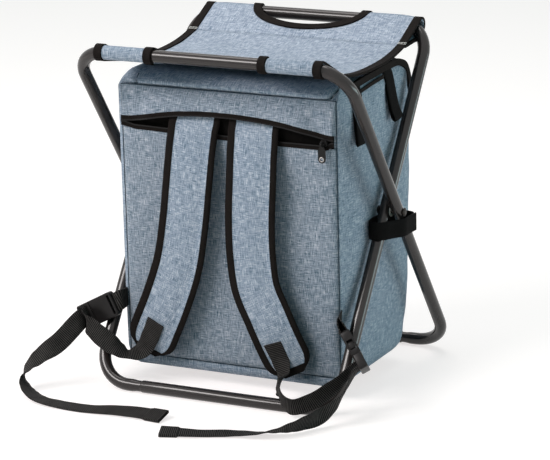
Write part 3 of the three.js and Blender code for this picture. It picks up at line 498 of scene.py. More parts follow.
def buildStudio():
    scene = bpy.context.scene
    scene.view_settings.view_transform = "Standard"
    f = Finish("studio_surround", "worlds")
    sky = f.node("ShaderNodeBackground", {}, {"Color": studio["cool"], "Strength": studio["sky"]})
    white = f.node("ShaderNodeBackground", {}, {"Color": (1, 1, 1, 1), "Strength": 1})
    scene.world = f.show(f.mix(seenRays(f), sky, white), "ShaderNodeOutputWorld")
    f = Finish("studio_floor")
    seen = seenRays(f)
    lit = f.principled(
        Base_Color=studio["floor"], Roughness=0.9, Specular_IOR_Level=0.0,
        Emission_Color=seen * studio["floorLift"], Emission_Strength=1,
    )
    glow = f.node("ShaderNodeEmission", {}, {"Color": studio["glow"], "Strength": 1})
    surface = f.show(f.mix(seen * studio["floorShare"], lit, glow))
    bm = bmesh.new()
    under = Matrix.Translation((0, 0, -studio["floorDrop"]))
    bmesh.ops.create_grid(bm, x_segments=2, y_segments=2, size=studio["floorSize"], matrix=under)
    meshObject("studio_floor", bm, [surface])
    for row in studio["lamps"]:
        lamp(*row)


buildStudio()
print("studio set")


# flat webbing: the rounded section of a band, carried along a line of points and widths
bandSection = [(-0.5, -0.2), (-0.47, -0.5), (-0.2, -0.5), (0.2, -0.5), (0.47, -0.5), (0.5, -0.2)]
bandSection += [(-u, -v) for u, v in bandSection]


def band(line, width, thickness, hem=0.0):
    points = [p for p, w in line]
    reach = reaches(points)
    rings = []
    for i, (p, w) in enumerate(line):
        way = heading(points, i)
        across = (w - way * w.dot(way)).normalized()
        out = way.cross(across)
        thick = thickness * (1 + ease(hem + 1.2, hem, reach[-1] - reach[i])) if hem else thickness
        rings.append([p + across * (u * width) + out * (v * thick) for u, v in bandSection])
    return loft(rings)


# a strip of tape or webbing on a smooth line through some stops; size is its width and thickness
def strip(name, stops, step, size, finish, body="bag", stands=(), slot="webbing", sharp=60):
    piece(name, band(flow(stops, step), *size), finish, body, stands, slot, sharp)


# webbing from the straps to the buckles, and the free tails: mm, the routes of the solids
webbing = {"size": (25, 1.6), "step": 2.4, "hem": 24, "hemSize": (26, 4.16), "sharp": 50}
buckle = {"nearSlot": 41.4, "farSlot": 48.4, "lead": 9.0, "fuller": 0.45, "rounding": 0.6, "corner": 35}
patchY = -118.5


# spot(along, out) on a buckle, the way over its width and the way out of its face
def buckleFrame(place, axis, facing):
    way, out = Vector(axis).normalized(), Vector(facing)
    out = (out - way * out.dot(way)).normalized()

    def spot(y, z):
        return Vector(place) + way * y + out * z

    return spot, way.cross(out), out


leftSpot, leftAcross, leftOut = buckleFrame(
    (-161, -118, 103), (-0.879, -0.1, -0.466), (0.087, -0.992, 0.09),
)
rightSpot, rightAcross, rightOut = buckleFrame(
    (170, -128, 103), (0.62, -0.25, -0.745), (-0.74, -0.5, -0.45),
)


# webbing's points at a slot of the plug, from the slot outwards
def inSlot(spot, across, slot):
    return [(spot(buckle[slot], 0), -across), (spot(buckle[slot], buckle["lead"]), -across)]


# the padded straps stand off the pocket along the middle; mm by height
def strapLift(z):
    return 16 * ease(352, 285, z) * ease(8, 112, z)


def strapShift(z):
    return 0.49 * strapLift(z)


def onStrap(x, z, out=0.0):
    return x + strapShift(z), patchY - strapLift(z) - out, z


leftRun = [
    (onStrap(-102, 88), (0.92, 0, -0.39)), (onStrap(-112, 64), (0.92, 0, -0.39)),
    (onStrap(-119.5, 49, 2.8), (0.86, -0.22, -0.45)), ((-127, patchY - 12, 41.5), (0.75, -0.55, -0.36)),
    ((-135, patchY - 17, 40.5), (0.5, -0.85, -0.15)), ((-145, patchY - 22, 46.5), (0.15, -0.88, -0.45)),
    ((-160, patchY - 26, 57.5), (-0.2, -0.55, -0.81)), ((-181, patchY - 26, 72), (-0.2, -0.15, -0.97)),
    ((-192, patchY - 22, 79), (0.2, -0.1, -0.97)), *reversed(inSlot(leftSpot, leftAcross, "nearSlot")),
]
rightRun = [
    (onStrap(64, 78), (0.91, 0, 0.42)), (onStrap(76, 52), (0.91, 0, 0.42)),
    (onStrap(82, 40, 6), (0.86, -0.35, 0.36)), ((84, patchY - 18, 33), (0.6, -0.7, 0.35)),
    ((87, patchY - 28, 30.5), (0.45, -0.85, 0.3)), ((93, patchY - 42, 31), (0.4, -0.8, 0.45)),
    ((104, patchY - 58, 24), (0.35, -0.6, 0.7)), ((119, patchY - 64, 17), (0.2, -0.3, 0.93)),
    ((140, patchY - 56, 22), (0.1, -0.25, 0.96)), ((162, patchY - 46, 37), (0, -0.45, 0.9)),
    ((180, patchY - 35, 55), (0.1, -0.7, 0.7)), *reversed(inSlot(rightSpot, rightAcross, "nearSlot")),
]
leftTail = [
    *inSlot(leftSpot, leftAcross, "farSlot"),
    ((-219.7, -170, 56), (0.68, 0.11, -0.72)), ((-238.2, -192, 40.1), (0.77, -0.5, -0.4)),
    ((-247.5, -200, 29.9), (0.73, -0.68, -0.02)), ((-250.6, -206, 19.5), (0.5, -0.84, 0.2)),
    ((-246, -211.5, 12.5), (0.1, -0.92, 0.36)), ((-239, -218.6, 8.6), (-0.2, -0.9, 0.36)),
    ((-228.6, -227.4, 5.7), (-0.3, -0.92, 0.24)), ((-208.8, -239, 3.2), (-0.3, -0.94, 0.1)),
    ((-182.2, -244.1, 2), (-0.15, -0.98, 0)), ((-156.6, -246.3, 1.7), (-0.05, -0.99, -0.04)),
    ((-135, -246.6, 1.9), (0, -0.99, -0.06)), ((-98.5, -243, 3.8), (0.02, -0.98, -0.16)),
    ((-72, -242.2, 4.8), (0, -0.97, -0.22)), ((-26, -246, 5.6), (0, -0.97, -0.25)),
]
rightTail = [
    *inSlot(rightSpot, rightAcross, "farSlot"),
    ((188, -153, 53), (0.3, -0.75, 0.6)), ((187, -163, 44), (0.45, -0.5, 0.72)),
    ((184, -173, 34), (0.5, -0.2, 0.83)), ((177, -184, 24), (0.4, 0, 0.9)),
    ((166, -199, 15), (0.2, 0, 0.98)), ((155.6, -221, 13), (0.37, -0.22, 0.9)),
    ((145, -237, 11.2), (0.42, -0.52, 0.74)), ((131.3, -246.6, 8.2), (0.37, -0.78, 0.5)),
    ((108.7, -254, 4.3), (0.16, -0.96, 0.2)), ((85, -257.4, 2.2), (0.25, -0.96, 0.08)),
    ((66, -263.6, 1.8), (0.35, -0.94, 0)), ((41, -274.2, 1.8), (0.42, -0.9, 0)),
    ((17, -284, 3.2), (0.4, -0.91, -0.07)), ((-6.5, -292.4, 4), (0.37, -0.92, -0.1)),
]


def webbingPiece(name, stops, node, farEnd):
    hem = webbing["hem"] if farEnd == "bare" else 0
    line = flow(stops, webbing["step"])
    length = sum((b[0] - a[0]).length for a, b in zip(line, line[1:])) * mm
    bm = band(line, *webbing["size"], hem)
    made = piece(name, bm, webbingBlack, stands=[node], slot="webbing", sharp=webbing["sharp"])
    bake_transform(made)
    if hem:
        fold = [stop for stop in line if (stop[0] - line[-1][0]).length < hem]
        bm = band(fold, *webbing["hemSize"])
        turned = piece(name + "_hem", bm, webbingBlack, slot="webbing", sharp=webbing["sharp"])
        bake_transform(turned)
    line[0][0] * mm
    [p * mm for p, w in line]


webbingPiece(
    "left_webbing_run", leftRun, "left_strap_webbing",
    "object",
)
webbingPiece(
    "right_webbing_run", rightRun, "right_strap_webbing",
    "object",
)
webbingPiece(
    "left_free_tail", leftTail, "left_webbing_tail",
    "bare",
)
webbingPiece(
    "right_free_tail", rightTail, "right_webbing_tail",
    "bare",
)
print("webbing laid")


# frame: two tube loops that cross at the rivets, each closed by its floor bar; mm and degrees
tube = {
    "radius": 8, "end": 7.1, "bend": 46, "bendSteps": 12, "upper": 261.2, "lower": 271.6, "tilt": 35.6,
    "pivot": 228.838, "stub": 20, "outer": 187.5, "inner": 169.9, "sides": 28,
    "barEnd": [(0, 7.2), (0.5, 7.75), (1.4, 8)], "stubEnd": [-3, 6, 13],
}
lean = radians(tube["tilt"])


def tubeSkin(points, face, radii):
    turns = [2 * pi * k / tube["sides"] for k in range(tube["sides"])]
    rings = []
    for i, p in enumerate(points):
        out = heading(points, i).cross(face)
        rings.append([p + (face * cos(t) + out * sin(t)) * radii[i] for t in turns])
    return loft(rings)


def frameLoop(name, half, side, body):
    rise = Vector((0, side * sin(lean), cos(lean)))
    face = Vector((1, 0, 0)).cross(rise)
    bend, top, low = tube["bend"], tube["upper"], -tube["lower"]
    joint = half - bend - tube["stub"]
    flat = [(-joint - past, low) for past in tube["stubEnd"]]
    right, foot, head = half - bend, low + bend, top - bend
    for x, s, start in ((-right, foot, 270), (-right, head, 180), (right, head, 90), (right, foot, 0)):
        flat += [onArc(x, s, bend, turn) for turn in spread(start, start - 90, tube["bendSteps"])]
    flat += [(joint + past, low) for past in reversed(tube["stubEnd"])]
    pivot = Vector((0, 0, tube["pivot"]))
    spots = [pivot + Vector((x, 0, 0)) + rise * s for x, s in flat]
    radii = [tube["end"]] * 2 + [tube["radius"]] * (len(flat) - 4) + [tube["end"]] * 2
    piece(name + "_tube", tubeSkin(spots, face, radii), gunmetal, body, [name + "_loop"], "gunmetal", 40)
    ends = [(x - joint, r) for x, r in tube["barEnd"]]
    ends += [(-x, r) for x, r in reversed(ends)]
    bar = tubeSkin([pivot + rise * low + Vector((x, 0, 0)) for x, r in ends], face, [r for x, r in ends])
    piece(name + "_foot_bar", bar, gunmetal, body, [name + "_floor_bar"], "gunmetal", 40)


frameLoop("outer", tube["outer"], -1, "outer_frame")
frameLoop("inner", tube["inner"], 1, "inner_frame")
bareSolids = {
    "left_pivot_rivet": rivetMetal, "right_pivot_rivet": rivetMetal,
    "left_pivot_washer": nylonWasher, "right_pivot_washer": nylonWasher, "base_board": boardGrey,
    "flap_slider": zipBlack, "flap_pull": zipBlack, "pocket_slider": zipBlack, "pocket_pull": zipBlack,
}
for name, finish in bareSolids.items():
    nodes[name].data.materials.clear()
    nodes[name].data.materials.append(finish)


# buckles: copies of the solids, made fuller across their faces and rounded at their edges
def fullBuckle(name, place, out, body):
    bm = bmesh.new()
    bm.from_mesh(nodes[name].data)
    bmesh.ops.transform(bm, matrix=nodes[name].matrix_world, verts=bm.verts)
    bmesh.ops.remove_doubles(bm, verts=bm.verts, dist=0.00001)
    bmesh.ops.dissolve_limit(bm, angle_limit=radians(1), verts=bm.verts, edges=bm.edges)
    for v in bm.verts:
        v.co += out * (v.co - place * mm).dot(out) * buckle["fuller"]
    corner = radians(buckle["corner"])
    edges = [e for e in bm.edges if len(e.link_faces) == 2 and e.calc_face_angle(0) > corner]
    bmesh.ops.bevel(
        bm, geom=edges, offset=buckle["rounding"] * mm, offset_type="OFFSET", affect="EDGES", segments=2,
        profile=0.5, material=-1, clamp_overlap=True,
    )
    bmesh.ops.triangulate(bm, faces=[f for f in bm.faces if len(f.verts) > 4])
    piece(name + "_full", bm, buckleBlack, body, [name], "black_plastic", 50)


for side, spot, out in (("left", leftSpot, leftOut), ("right", rightSpot, rightOut)):
    fullBuckle(side + "_buckle_socket", spot(0, 0), out, "bag")
    fullBuckle(side + "_buckle_plug", spot(0, 0), out, side + "_plug")
print("frame bent")


# seat: each half runs from the middle up to its bar, round it and back to a hem; mm
seat = {
    "left": -153.5, "right": 158, "bar": (152.05, 441.22), "wrap": 9.2, "cloth": 1.7, "step": 4,
    "sag": 412.2, "rise": 33, "curve": 2.5, "hem": 96, "hemHeight": 420.6,
    "cutHalf": 74, "cutDepth": 32, "cutLine": 152, "rows": 38, "turns": 26, "upSteps": 36,
    "binding": (11, 3.4), "edge": 4.6, "sleeveWrap": 9.4,
    "columns": [
        -128, -120, -110, -100, -92, -84, -78, -74, -73, -71, -68, -64, -58, -51, -43, -34, -24, -12, 0,
    ],
    "flat": (0.316, 0.246), "area": 0.0655, "held": 140, "heldHeight": 430,
}


def seatSag(y, bar):
    return seat["sag"] + seat["rise"] * (y / bar) ** seat["curve"]


# half of the seat's section from its middle, where the bar lies lower by the drop of its bend
def seatPath(drop):
    y, z = seat["bar"]
    y, z = y - 0.3 * drop * sin(lean), z - 0.3 * drop * cos(lean)
    path = [(seat["step"] * k, seatSag(seat["step"] * k, y)) for k in range(25)]
    path += [onArc(y, z, seat["wrap"], turn) for turn in range(118, -36, -7)]
    y, z = y - 0.7 * drop * sin(lean), z - 0.7 * drop * cos(lean)
    path += [onArc(y, z, seat["wrap"], turn) for turn in range(-36, -86, -7)]
    return path + [(seat["hem"], seat["hemHeight"])]


def seatSpot(path, reach, s):
    return tuple(onTable([(r, p[k]) for r, p in zip(reach, path)], s) for k in (0, 1))


# length along the section where it comes to y on its way up to the bar
def seatReach(path, reach, y):
    count = seat["upSteps"]
    return onTable([(p[0], r) for p, r in zip(path[:count], reach[:count])], y)


def tubeDrop(x, half):
    past = max(0.0, abs(x) - (half - tube["bend"]))
    return tube["bend"] - sqrt(tube["bend"] ** 2 - past ** 2)


def cutEdge(x):
    return seat["cutLine"] - seat["cutDepth"] * sqrt(max(0.0, 1 - (x / seat["cutHalf"]) ** 2))


def seatColumn(x, side, half):
    path = seatPath(tubeDrop(x, half))
    reach = reaches(path)
    top = seatReach(path, reach, cutEdge(x))
    column = []
    for k, s in enumerate(spread(0, top, seat["rows"]) + spread(top, reach[-1], seat["turns"])[1:]):
        y, z = seatSpot(path, reach, s)
        if k <= seat["rows"]:
            loose = ease(4, 40, y) * ease(140, 100, y)
            z += 1.1 * loose * wobble(x, y * side, 0, 46, 3.1) - 0.35 * bell(y - seat["hem"], 4)
        column.append(Vector((x, side * y, z)))
    return column


def seatTrims(name, side, half):
    def level(x, spots):
        return [(Vector((x, side * y, z)), Vector((1, 0, 0))) for y, z in spots]

    trims = []
    for word, sign in sides.items():
        x = seat[word] - sign * seat["edge"]
        path = seatPath(tubeDrop(x, half))
        reach = reaches(path)
        spots = [seatSpot(path, reach, s) for s in spread(0, reach[-1], 110)]
        trims.append((name + "_" + word + "_edge", level(x, spots)))
        spots = [onArc(*seat["bar"], seat["sleeveWrap"], turn) for turn in range(100, -86, -8)]
        trims.append((name + "_" + word + "_sleeve_edge", level(sign * (seat["cutHalf"] + 5), spots)))
    path = seatPath(0)
    reach = reaches(path)
    line = []
    for turn in spread(0, pi, 60):
        x = -(seat["cutHalf"] + 4.5) * cos(turn)
        y = seat["cutLine"] - (seat["cutDepth"] + 4.5) * sin(turn)
        y, z = seatSpot(path, reach, seatReach(path, reach, y))
        across = Vector((cos(turn), side * sin(turn), 0.4 * sin(turn)))
        line.append((Vector((x, side * y, z)), across))
    return trims + [(name + "_cutout_edge", line)]


# its place baked into its mesh
def seatBlend(made):
    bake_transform(made)


def seatHalf(name, side, half, sleeves):
    columns, step = seat["columns"], seat["step"]
    xs = [seat["left"] + step * k for k in range(6)] + columns + [-x for x in reversed(columns[:-1])]
    xs += [seat["right"] - step * k for k in range(7, -1, -1)]

    # 0 the seat's cloth in the lighter heather copy, painted light on its top, 1 its sleeves in the
    # plain blue, 2 the stretch that the cut-out takes away
    def kind(r, i):
        if i < seat["rows"] - 1:
            return 0
        return 2 if i >= seat["rows"] and max(abs(xs[r]), abs(xs[r + 1])) <= seat["cutHalf"] else 1

    bm = loft([seatColumn(x, side, half) for x in xs], closed=False, finish=kind)
    bmesh.ops.delete(bm, geom=[f for f in bm.faces if f.material_index == 2], context="FACES")
    bmesh.ops.recalc_face_normals(bm, faces=bm.faces)
    bmesh.ops.solidify(bm, geom=bm.faces[:], thickness=seat["cloth"] * mm)
    made = piece(name, bm, [clothSeatLit, clothBlue], stands=sleeves, slot="cloth")
    for word, line in seatTrims(name, side, half):
        tape = piece(word, band(line, *seat["binding"]), bindingBlack, slot="webbing")
        seatBlend(tape)
    seatBlend(made)


frontSleeves = ["seat_sling", "front_sleeve_left", "front_sleeve_right"]
seatHalf("seat_front_half", -1, tube["outer"], frontSleeves)
seatHalf("seat_rear_half", 1, tube["inner"], ["rear_sleeve_left", "rear_sleeve_right"])
print("seat slung")


# bag: one shell of soft rings, cut into the body and the rear flap; mm
# a section is its height and how far the sides, front and rear lie inside the box there
# cloth and foam are each an inset and a thickness
bag = {
    "half": 152.5, "front": 100, "rear": 121, "frontCorner": 4, "rearCorner": 14,
    "cloth": (0, 1.9), "foam": (2.1, 6), "low": 14, "top": 406.2, "wallSteps": 34,
    "sections": [
        (14, 17, 15, 42), (17, 9, 6, 34), (21, 5, 2, 30), (26, 2, -0.6, 27), (33, 1, 0, 25),
        (120, 0, 0, 7), (241, 0, 0, 0), (376.2, 0, 0, 1.5), (388.2, 0, 0, 4), (397.2, 1, 6, 12),
        (403.2, 3, 14, 22), (406.2, 5, 22, 36),
    ],
    "sidePuff": 4.6, "rearPuff": 5, "cornerPuff": 2.4, "seam": 390.2, "roll": [(-90, 6), (90, 10)],
    "earCrease": (-129, 141), "flapFront": 62.3, "flapHinge": 292.3, "flapHalf": 150.5,
    "stopsHalf": 148.5,
    "frontStops": [-148.5, -145.5, -142.5, -139.5, -137] + [-135 + 1.1 * k for k in range(12)]
    + [-121 + 8 * k for k in range(31)] + [124, 128, 131, 134] + [136 + 1.1 * k for k in range(11)],
    "heights": [14, 15.5, 17, 19, 21, 23.5, 26, 29.5, 33] + [33 + 7.4 * k for k in range(1, 47)]
    + [378, 382, 385] + [386.6 + 1.2 * k for k in range(17)],
    "floorRings": [(0.05, -2.6), (0.35, -2.4), (0.6, -2), (0.8, -1.4), (0.92, -0.7)],
    "topRings": [(0.97, 0.3), (0.93, 0.6), (0.75, 1), (0.5, 1.3), (0.25, 1.5), (0.05, 1.5)],
}


# front of the top: a puffed roll above the seam, creased at its ears
def rollSwell(px, z):
    up = min(1, max(0, (z - bag["seam"]) / 16))
    bulge = onTable(bag["roll"], px) * sin(pi * up) ** 0.7 * ease(150, 128, abs(px))
    bulge += 1.8 * wobble(px, 0, z, 24, 9.1) * ease(390, 396, z)
    left, right = bag["earCrease"]
    crease = left - 0.2 * (z - 391) if px < 0 else right + 0.6 * (z - 391)
    ear = 6 * bell(px - crease, 2) * ease(390.5, 393, z) * ease(408, 404, z)
    return bulge - 2.2 * bell(z - bag["seam"], 1.7) - ear


# how far the soft wall stands out of the plain box at a place on its outline
def bagSwell(px, py, z, x, f, r):
    height = ease(20, 44, z) * ease(407, 384, z)
    back = (py + f) / (f + r)
    corner, puff = bag["cornerPuff"], bag["sidePuff"]
    side = puff * ease(0, 0.014 if px < 0 else 0.2, back) * ease(x - 14, x - 3, abs(px))
    side -= (puff - corner) * ease(0.72, 1, back)
    rear = corner + (bag["rearPuff"] - corner) * max(0.0, 1 - (px / x) ** 2)
    fold = 1.5 * wobble(px, py, z, 62, 1.7) + 0.8 * wobble(px, py, z, 27, 5.2)
    fold *= ease(22, 60, z) * ease(404, 380, z) * ease(0.03, 0.2, back)
    onSide = abs(px) > x - 14 and py > -f + 0.1
    outX = copysign(1, px) * (side * height + fold) if onSide else 0
    outY = rear * ease(r - 14, r - 2, py) * height + fold * (py > r - 14)
    if py < -f + 0.5 and z > 380:
        outY -= rollSwell(px, z)
    return outX, outY


def bagRing(z, inset=0.0, shrink=1.0, lift=0.0):
    side, front, rear = (onTable([(s[0], s[k]) for s in bag["sections"]], z) for k in (1, 2, 3))
    x, f, r = bag["half"] - side - inset, bag["front"] - front - inset, bag["rear"] - rear - inset
    small, large = max(1.0, bag["frontCorner"] - inset), max(1.0, bag["rearCorner"] - inset)
    walls = [k / bag["wallSteps"] for k in range(bag["wallSteps"])]
    ring = [(px / bag["stopsHalf"] * (x - small), -f) for px in bag["frontStops"]]
    ring += [onArc(x - small, -f + small, small, -90 + 18 * k) for k in range(5)]
    ring += [(x, -f + small + (f + r - small - large) * t) for t in walls]
    ring += [onArc(x - large, r - large, large, 15 * k) for k in range(6)]
    ring += [(x - large - (2 * x - 2 * large) * t, r) for t in walls]
    ring += [onArc(-x + large, r - large, large, 90 + 15 * k) for k in range(6)]
    ring += [(-x, r - large - (f + r - small - large) * t) for t in walls]
    ring += [onArc(-x + small, -f + small, small, 180 + 18 * k) for k in range(5)]
    spots = []
    for px, py in ring:
        outX, outY = bagSwell(px, py, z, x, f, r) if inset == 0 else (0, 0)
        spots.append(Vector(((px + outX) * shrink, (py + outY) * shrink, z + lift)))
    return spots


def bagSkin(inset=0.0):
    low, top = bag["low"], bag["top"]
    rings = [bagRing(low, inset, share, lift + inset) for share, lift in bag["floorRings"]]
    rings += [bagRing(z, inset, 1, inset * (1 - 2 * (z - low) / (top - low))) for z in bag["heights"]]
    rings += [bagRing(top, inset, share, lift - inset) for share, lift in bag["topRings"]]
    bm = loft(rings)
    half = bag["flapHalf"]
    cuts = [((0, bag["flapFront"], 0), (0, 1, 0)), ((0, 0, bag["flapHinge"]), (0, 0, 1))]
    for spot, way in cuts + [((half, 0, 0), (1, 0, 0)), ((-half, 0, 0), (1, 0, 0))]:
        geom = bm.verts[:] + bm.edges[:] + bm.faces[:]
        bmesh.ops.bisect_plane(bm, geom=geom, plane_co=vec(*spot), plane_no=way)
    bmesh.ops.dissolve_degenerate(bm, edges=bm.edges[:], dist=0.0003)
    panelUv(bm)
    bmesh.ops.recalc_face_normals(bm, faces=bm.faces)
    return bm


def onFlap(face, margin):
    c = face.calc_center_median() / mm
    inside = abs(c.x) < bag["flapHalf"] - margin
    return c.y > bag["flapFront"] + margin and c.z > bag["flapHinge"] + margin and inside


def bagPart(name, size, flap, finish, body, node, slot, margin=0.0):
    inset, thick = bag[size]
    bm = bagSkin(inset)
    bmesh.ops.delete(bm, geom=[f for f in bm.faces if onFlap(f, margin) != flap], context="FACES")
    bmesh.ops.solidify(bm, geom=bm.faces[:], thickness=thick * mm)
    return piece(name, bm, finish, body, [node], slot, outward=False)


bagBody = bagPart("bag_body", "cloth", False, clothBlue, "bag", "bag_shell", "bag_cloth")
bagFlap = bagPart("bag_rear_flap", "cloth", True, clothBlue, "flap", "cooler_flap", "bag_cloth")
bagPart("foil_lining", "foam", False, foilSilver, "bag", "cooler_liner", "foil", 8)
bagPart("flap_foil_pad", "foam", True, foilSilver, "flap", "flap_pad", "foil", 8.6)
print("bag sewn")


def bagTree():
    bm = bagSkin()
    tree = BVHTree.FromBMesh(bm)
    bm.free()
    return tree


bagWall = bagTree()


# where a ray from outside meets the soft wall, lifted off it; mm
def onWall(start, way, lift=0.6):
    spot, normal, *rest = bagWall.ray_cast(Vector(start) * mm, Vector(way).normalized())
    return spot / mm + normal * (lift if normal.dot(Vector(way)) < 0 else -lift)


def onRear(x, z, lift=0.6):
    return onWall((x, 220, z), (0, -1, 0), lift)


def onTop(x, y):
    return onWall((x, y, 500), (0, 0, -1))


# zip round the rear flap: tapes laid on the soft wall; mm
flapZip = {
    "tape": (8, 1.4), "coil": (2, 1.6), "seam": (1.6, 1), "seamHalf": 149, "step": 5,
    "across": 141, "corner": 14, "front": 67, "bagFront": 57.6, "bagHalf": 146,
    "low": 254, "hinge": 292.3, "clear": 16, "bend": 350, "centre": (72, 362),
}


def climb(x):
    spots = [onRear(x, z) for z in spread(flapZip["hinge"] + flapZip["clear"], flapZip["bend"], 10)]
    for turn in range(12, 84, 8):
        way = Vector((0, *onArc(0, 0, 1, turn)))
        spots.append(onWall(Vector((x, *flapZip["centre"])) + way * 120, -way))
    return spots


def flapTapes():
    side, step, tape = flapZip["across"], flapZip["step"], flapZip["tape"]
    half = side - flapZip["corner"]
    run = [(p, (1, 0, 0)) for p in climb(-side)]
    run += [(onTop(x, flapZip["front"]), (0, -1, 0)) for x in spread(-half, half, 30)]
    run += [(p, (-1, 0, 0)) for p in reversed(climb(side))]
    strip("flap_zip_tape", run, step, tape, bindingBlack, "flap", slot="zip_tape")
    coil = [(p + Vector((0, 0.5, 0.5)), w) for p, w in run]
    strip("flap_zip_coil", coil, step, flapZip["coil"], zipBlack, "flap", slot="zip_tape")
    half = flapZip["bagHalf"]
    over = [(onTop(x, flapZip["bagFront"]), (0, -1, 0)) for x in spread(-half, half, 30)]
    strip("flap_zip_bag_tape", over, step, tape, bindingBlack, slot="zip_tape")
    for word, sign in sides.items():
        stub = [(onRear(sign * side, flapZip["low"] + 4 * k), (1, 0, 0)) for k in range(8)]
        strip(word + "_zip_stop_tape", stub, 4, tape, bindingBlack, slot="zip_tape")
    half = flapZip["seamHalf"]
    # a dark line of painted shade along the flap's fold
    fold = [(onRear(x, flapZip["hinge"] - 8, 0.2), (0, 0, 1)) for x in spread(-half, half, 40)]
    strip("flap_fold_seam_shade", fold, step, flapZip["seam"], seamShade, slot="cloth")


flapTapes()
print("flap zip laid")


# pocket over the front of the bag: a soft panel, the band above its mouth and the zip; mm
pocket = {
    "half": 150, "low": 32, "top": 335.5, "back": 100.4, "face": 107.4, "seam": 390.2, "cells": 76,
    "tape": (6.2, 1.5), "teeth": (1.7, 1.5), "tapeHalf": 149,
    "bandRoot": 101.2, "bandEnd": 102.4, "bandThick": 1.7, "bandRows": 18, "lipOut": 107.5, "gape": 8.2,
    "sink": 5.5, "teethOut": 107.9, "tapeOut": 106.6, "mouthShadeOut": 101.2,
    "tuck": 2.6, "dent": 4.4, "dentX": 120, "mouthShade": (56, 1.2), "mouthShadeHeight": 358, "mouthShadeHalf": 147,
    "lip": [
        (-150, 350), (-134, 350.6), (-120, 353), (-106, 356.4), (-92, 359.2), (-76, 361.8),
        (-60, 363.8), (-40, 365.4), (-15, 366.3), (15, 366.2), (40, 365), (60, 363.4), (80, 361),
        (92, 359.2), (102, 357.2), (115, 353.8), (130, 349.6), (142, 347.5), (150, 347.2),
    ],
}


def lipHeight(x):
    return onTable(pocket["lip"], x)


def panelTop(x):
    return pocket["top"] - pocket["sink"] * ease(-150, 60, x)


def lipReach(x):
    return pocket["lipOut"] + pocket["gape"] * (1 - ease(100, 132, abs(x)))


def pocketPanel():
    bm = bmesh.new()
    upright, cells = Matrix.Rotation(radians(90), 4, "X"), pocket["cells"]
    bmesh.ops.create_grid(bm, x_segments=cells, y_segments=cells, size=1, matrix=upright, calc_uvs=False)
    for v in bm.verts:
        u, w = v.co.x, v.co.z
        x = pocket["half"] * u
        z = pocket["low"] + (panelTop(x) - pocket["low"]) * (w + 1) / 2
        soft = (1 - abs(u) ** 12) * (1 - max(0.0, -w) ** 14) * (1 - 0.1 * max(0.0, w) ** 20)
        ripple = (wobble(x, 0, z, 42, 8.3) + 0.5 * wobble(x, 0, z, 17, 2.2)) * 0.9 * soft
        y = pocket["back"] + (pocket["face"] - pocket["back"]) * soft ** 0.5 - 0.5 * (1 - ripple) * soft
        v.co = vec(x, -y, z)
    rim = [e for e in bm.edges if e.is_boundary]
    for v in newVerts(bmesh.ops.extrude_edge_only(bm, edges=rim)["geom"]):
        v.co.y = -pocket["back"] * mm
    bmesh.ops.holes_fill(bm, edges=[e for e in bm.edges if e.is_boundary], sides=0)
    bm.normal_update()
    panelUv(bm)
    # the panel takes the darker heather copy, painted shade
    made = piece("pocket_front", bm, clothPanelShaded, "bag", ["pocket_panel"], "cloth", 50)


def pocketBand():
    root, seam, half = pocket["bandRoot"], pocket["seam"], pocket["half"]
    rings = []
    for x in spread(-half, half, 120):
        reach = lipReach(x) if abs(x) < half - 1 else pocket["bandEnd"]
        tuck = pocket["tuck"] * bell(x + 121, 5)
        dent = pocket["dent"] * bell(x - pocket["dentX"], 26 if x < pocket["dentX"] else 5)
        outer = []
        for t in spread(0, 1, pocket["bandRows"]):
            wave = sin(pi * t)
            ripple = 2.4 * wobble(x, 0, t * 40, 34, 4.4) + 0.8 * wobble(x, 0, t * 40, 13, 1.4)
            ripple = (ripple - tuck * ease(0.95, 0.2, t)) * wave ** 0.6
            ripple -= dent * wave ** 1.2 * ease(0.95, 0.5, t)
            out = root + (reach - root) * sin(0.5 * pi * t) ** 0.8 + ripple
            outer.append(Vector((x, -out, seam + (lipHeight(x) - seam) * t)))
        rings.append(outer + [p + Vector((0, pocket["bandThick"], 0)) for p in reversed(outer)])
    # the band takes the darker heather copy, painted shade under the seat
    made = piece("pocket_mouth_band", loft(rings), clothPanelShaded, "bag", ["pocket_upper_band"], "cloth")


# the lower tape rises to the lip at both ends of the mouth
def lowerTape(x):
    return panelTop(x) + 1.6 + 3.4 * ease(-126, -146, x) + 4.5 * ease(138, 148, x)


def zipTapes():
    upper, lower, toothed, toothedToo = [], [], [], []
    for x in spread(-pocket["tapeHalf"], pocket["tapeHalf"], 100):
        upper.append((x, 0.6 - lipReach(x), lipHeight(x) - 2.4))
        toothed.append((x, 0.2 - lipReach(x), lipHeight(x) - 5.4))
        toothedToo.append((x, -pocket["teethOut"], lowerTape(x) + 2.6))
        lower.append((x, -pocket["tapeOut"], lowerTape(x)))
    # a black sheet on the wall behind the mouth, painted shade inside the open pocket
    half, height = pocket["mouthShadeHalf"], pocket["mouthShadeHeight"]
    mouthShade = [(x, -pocket["mouthShadeOut"], height) for x in (-half, 0, half)]
    for name, spots, size, finish, stands, slot in (
        ("pocket_zip_upper", upper, "tape", bindingBlack, ["pocket_zip_upper_tape"], "zip_tape"),
        ("pocket_upper_teeth", toothed, "teeth", zipBlack, [], "zip_tape"),
        ("pocket_lower_teeth", toothedToo, "teeth", zipBlack, [], "zip_tape"),
        ("pocket_zip_lower", lower, "tape", bindingBlack, ["pocket_zip_lower_tape"], "zip_tape"),
        ("pocket_mouth_shade", mouthShade, "mouthShade", mouthShadeBlack, [], "cloth"),
    ):
        line = [(Vector(spot), Vector((0, 0, 1))) for spot in spots]
        piece(name, band(line, *pocket[size]), finish, "bag", stands, slot)


pocketPanel()
pocketBand()
zipTapes()
print("pocket sewn")


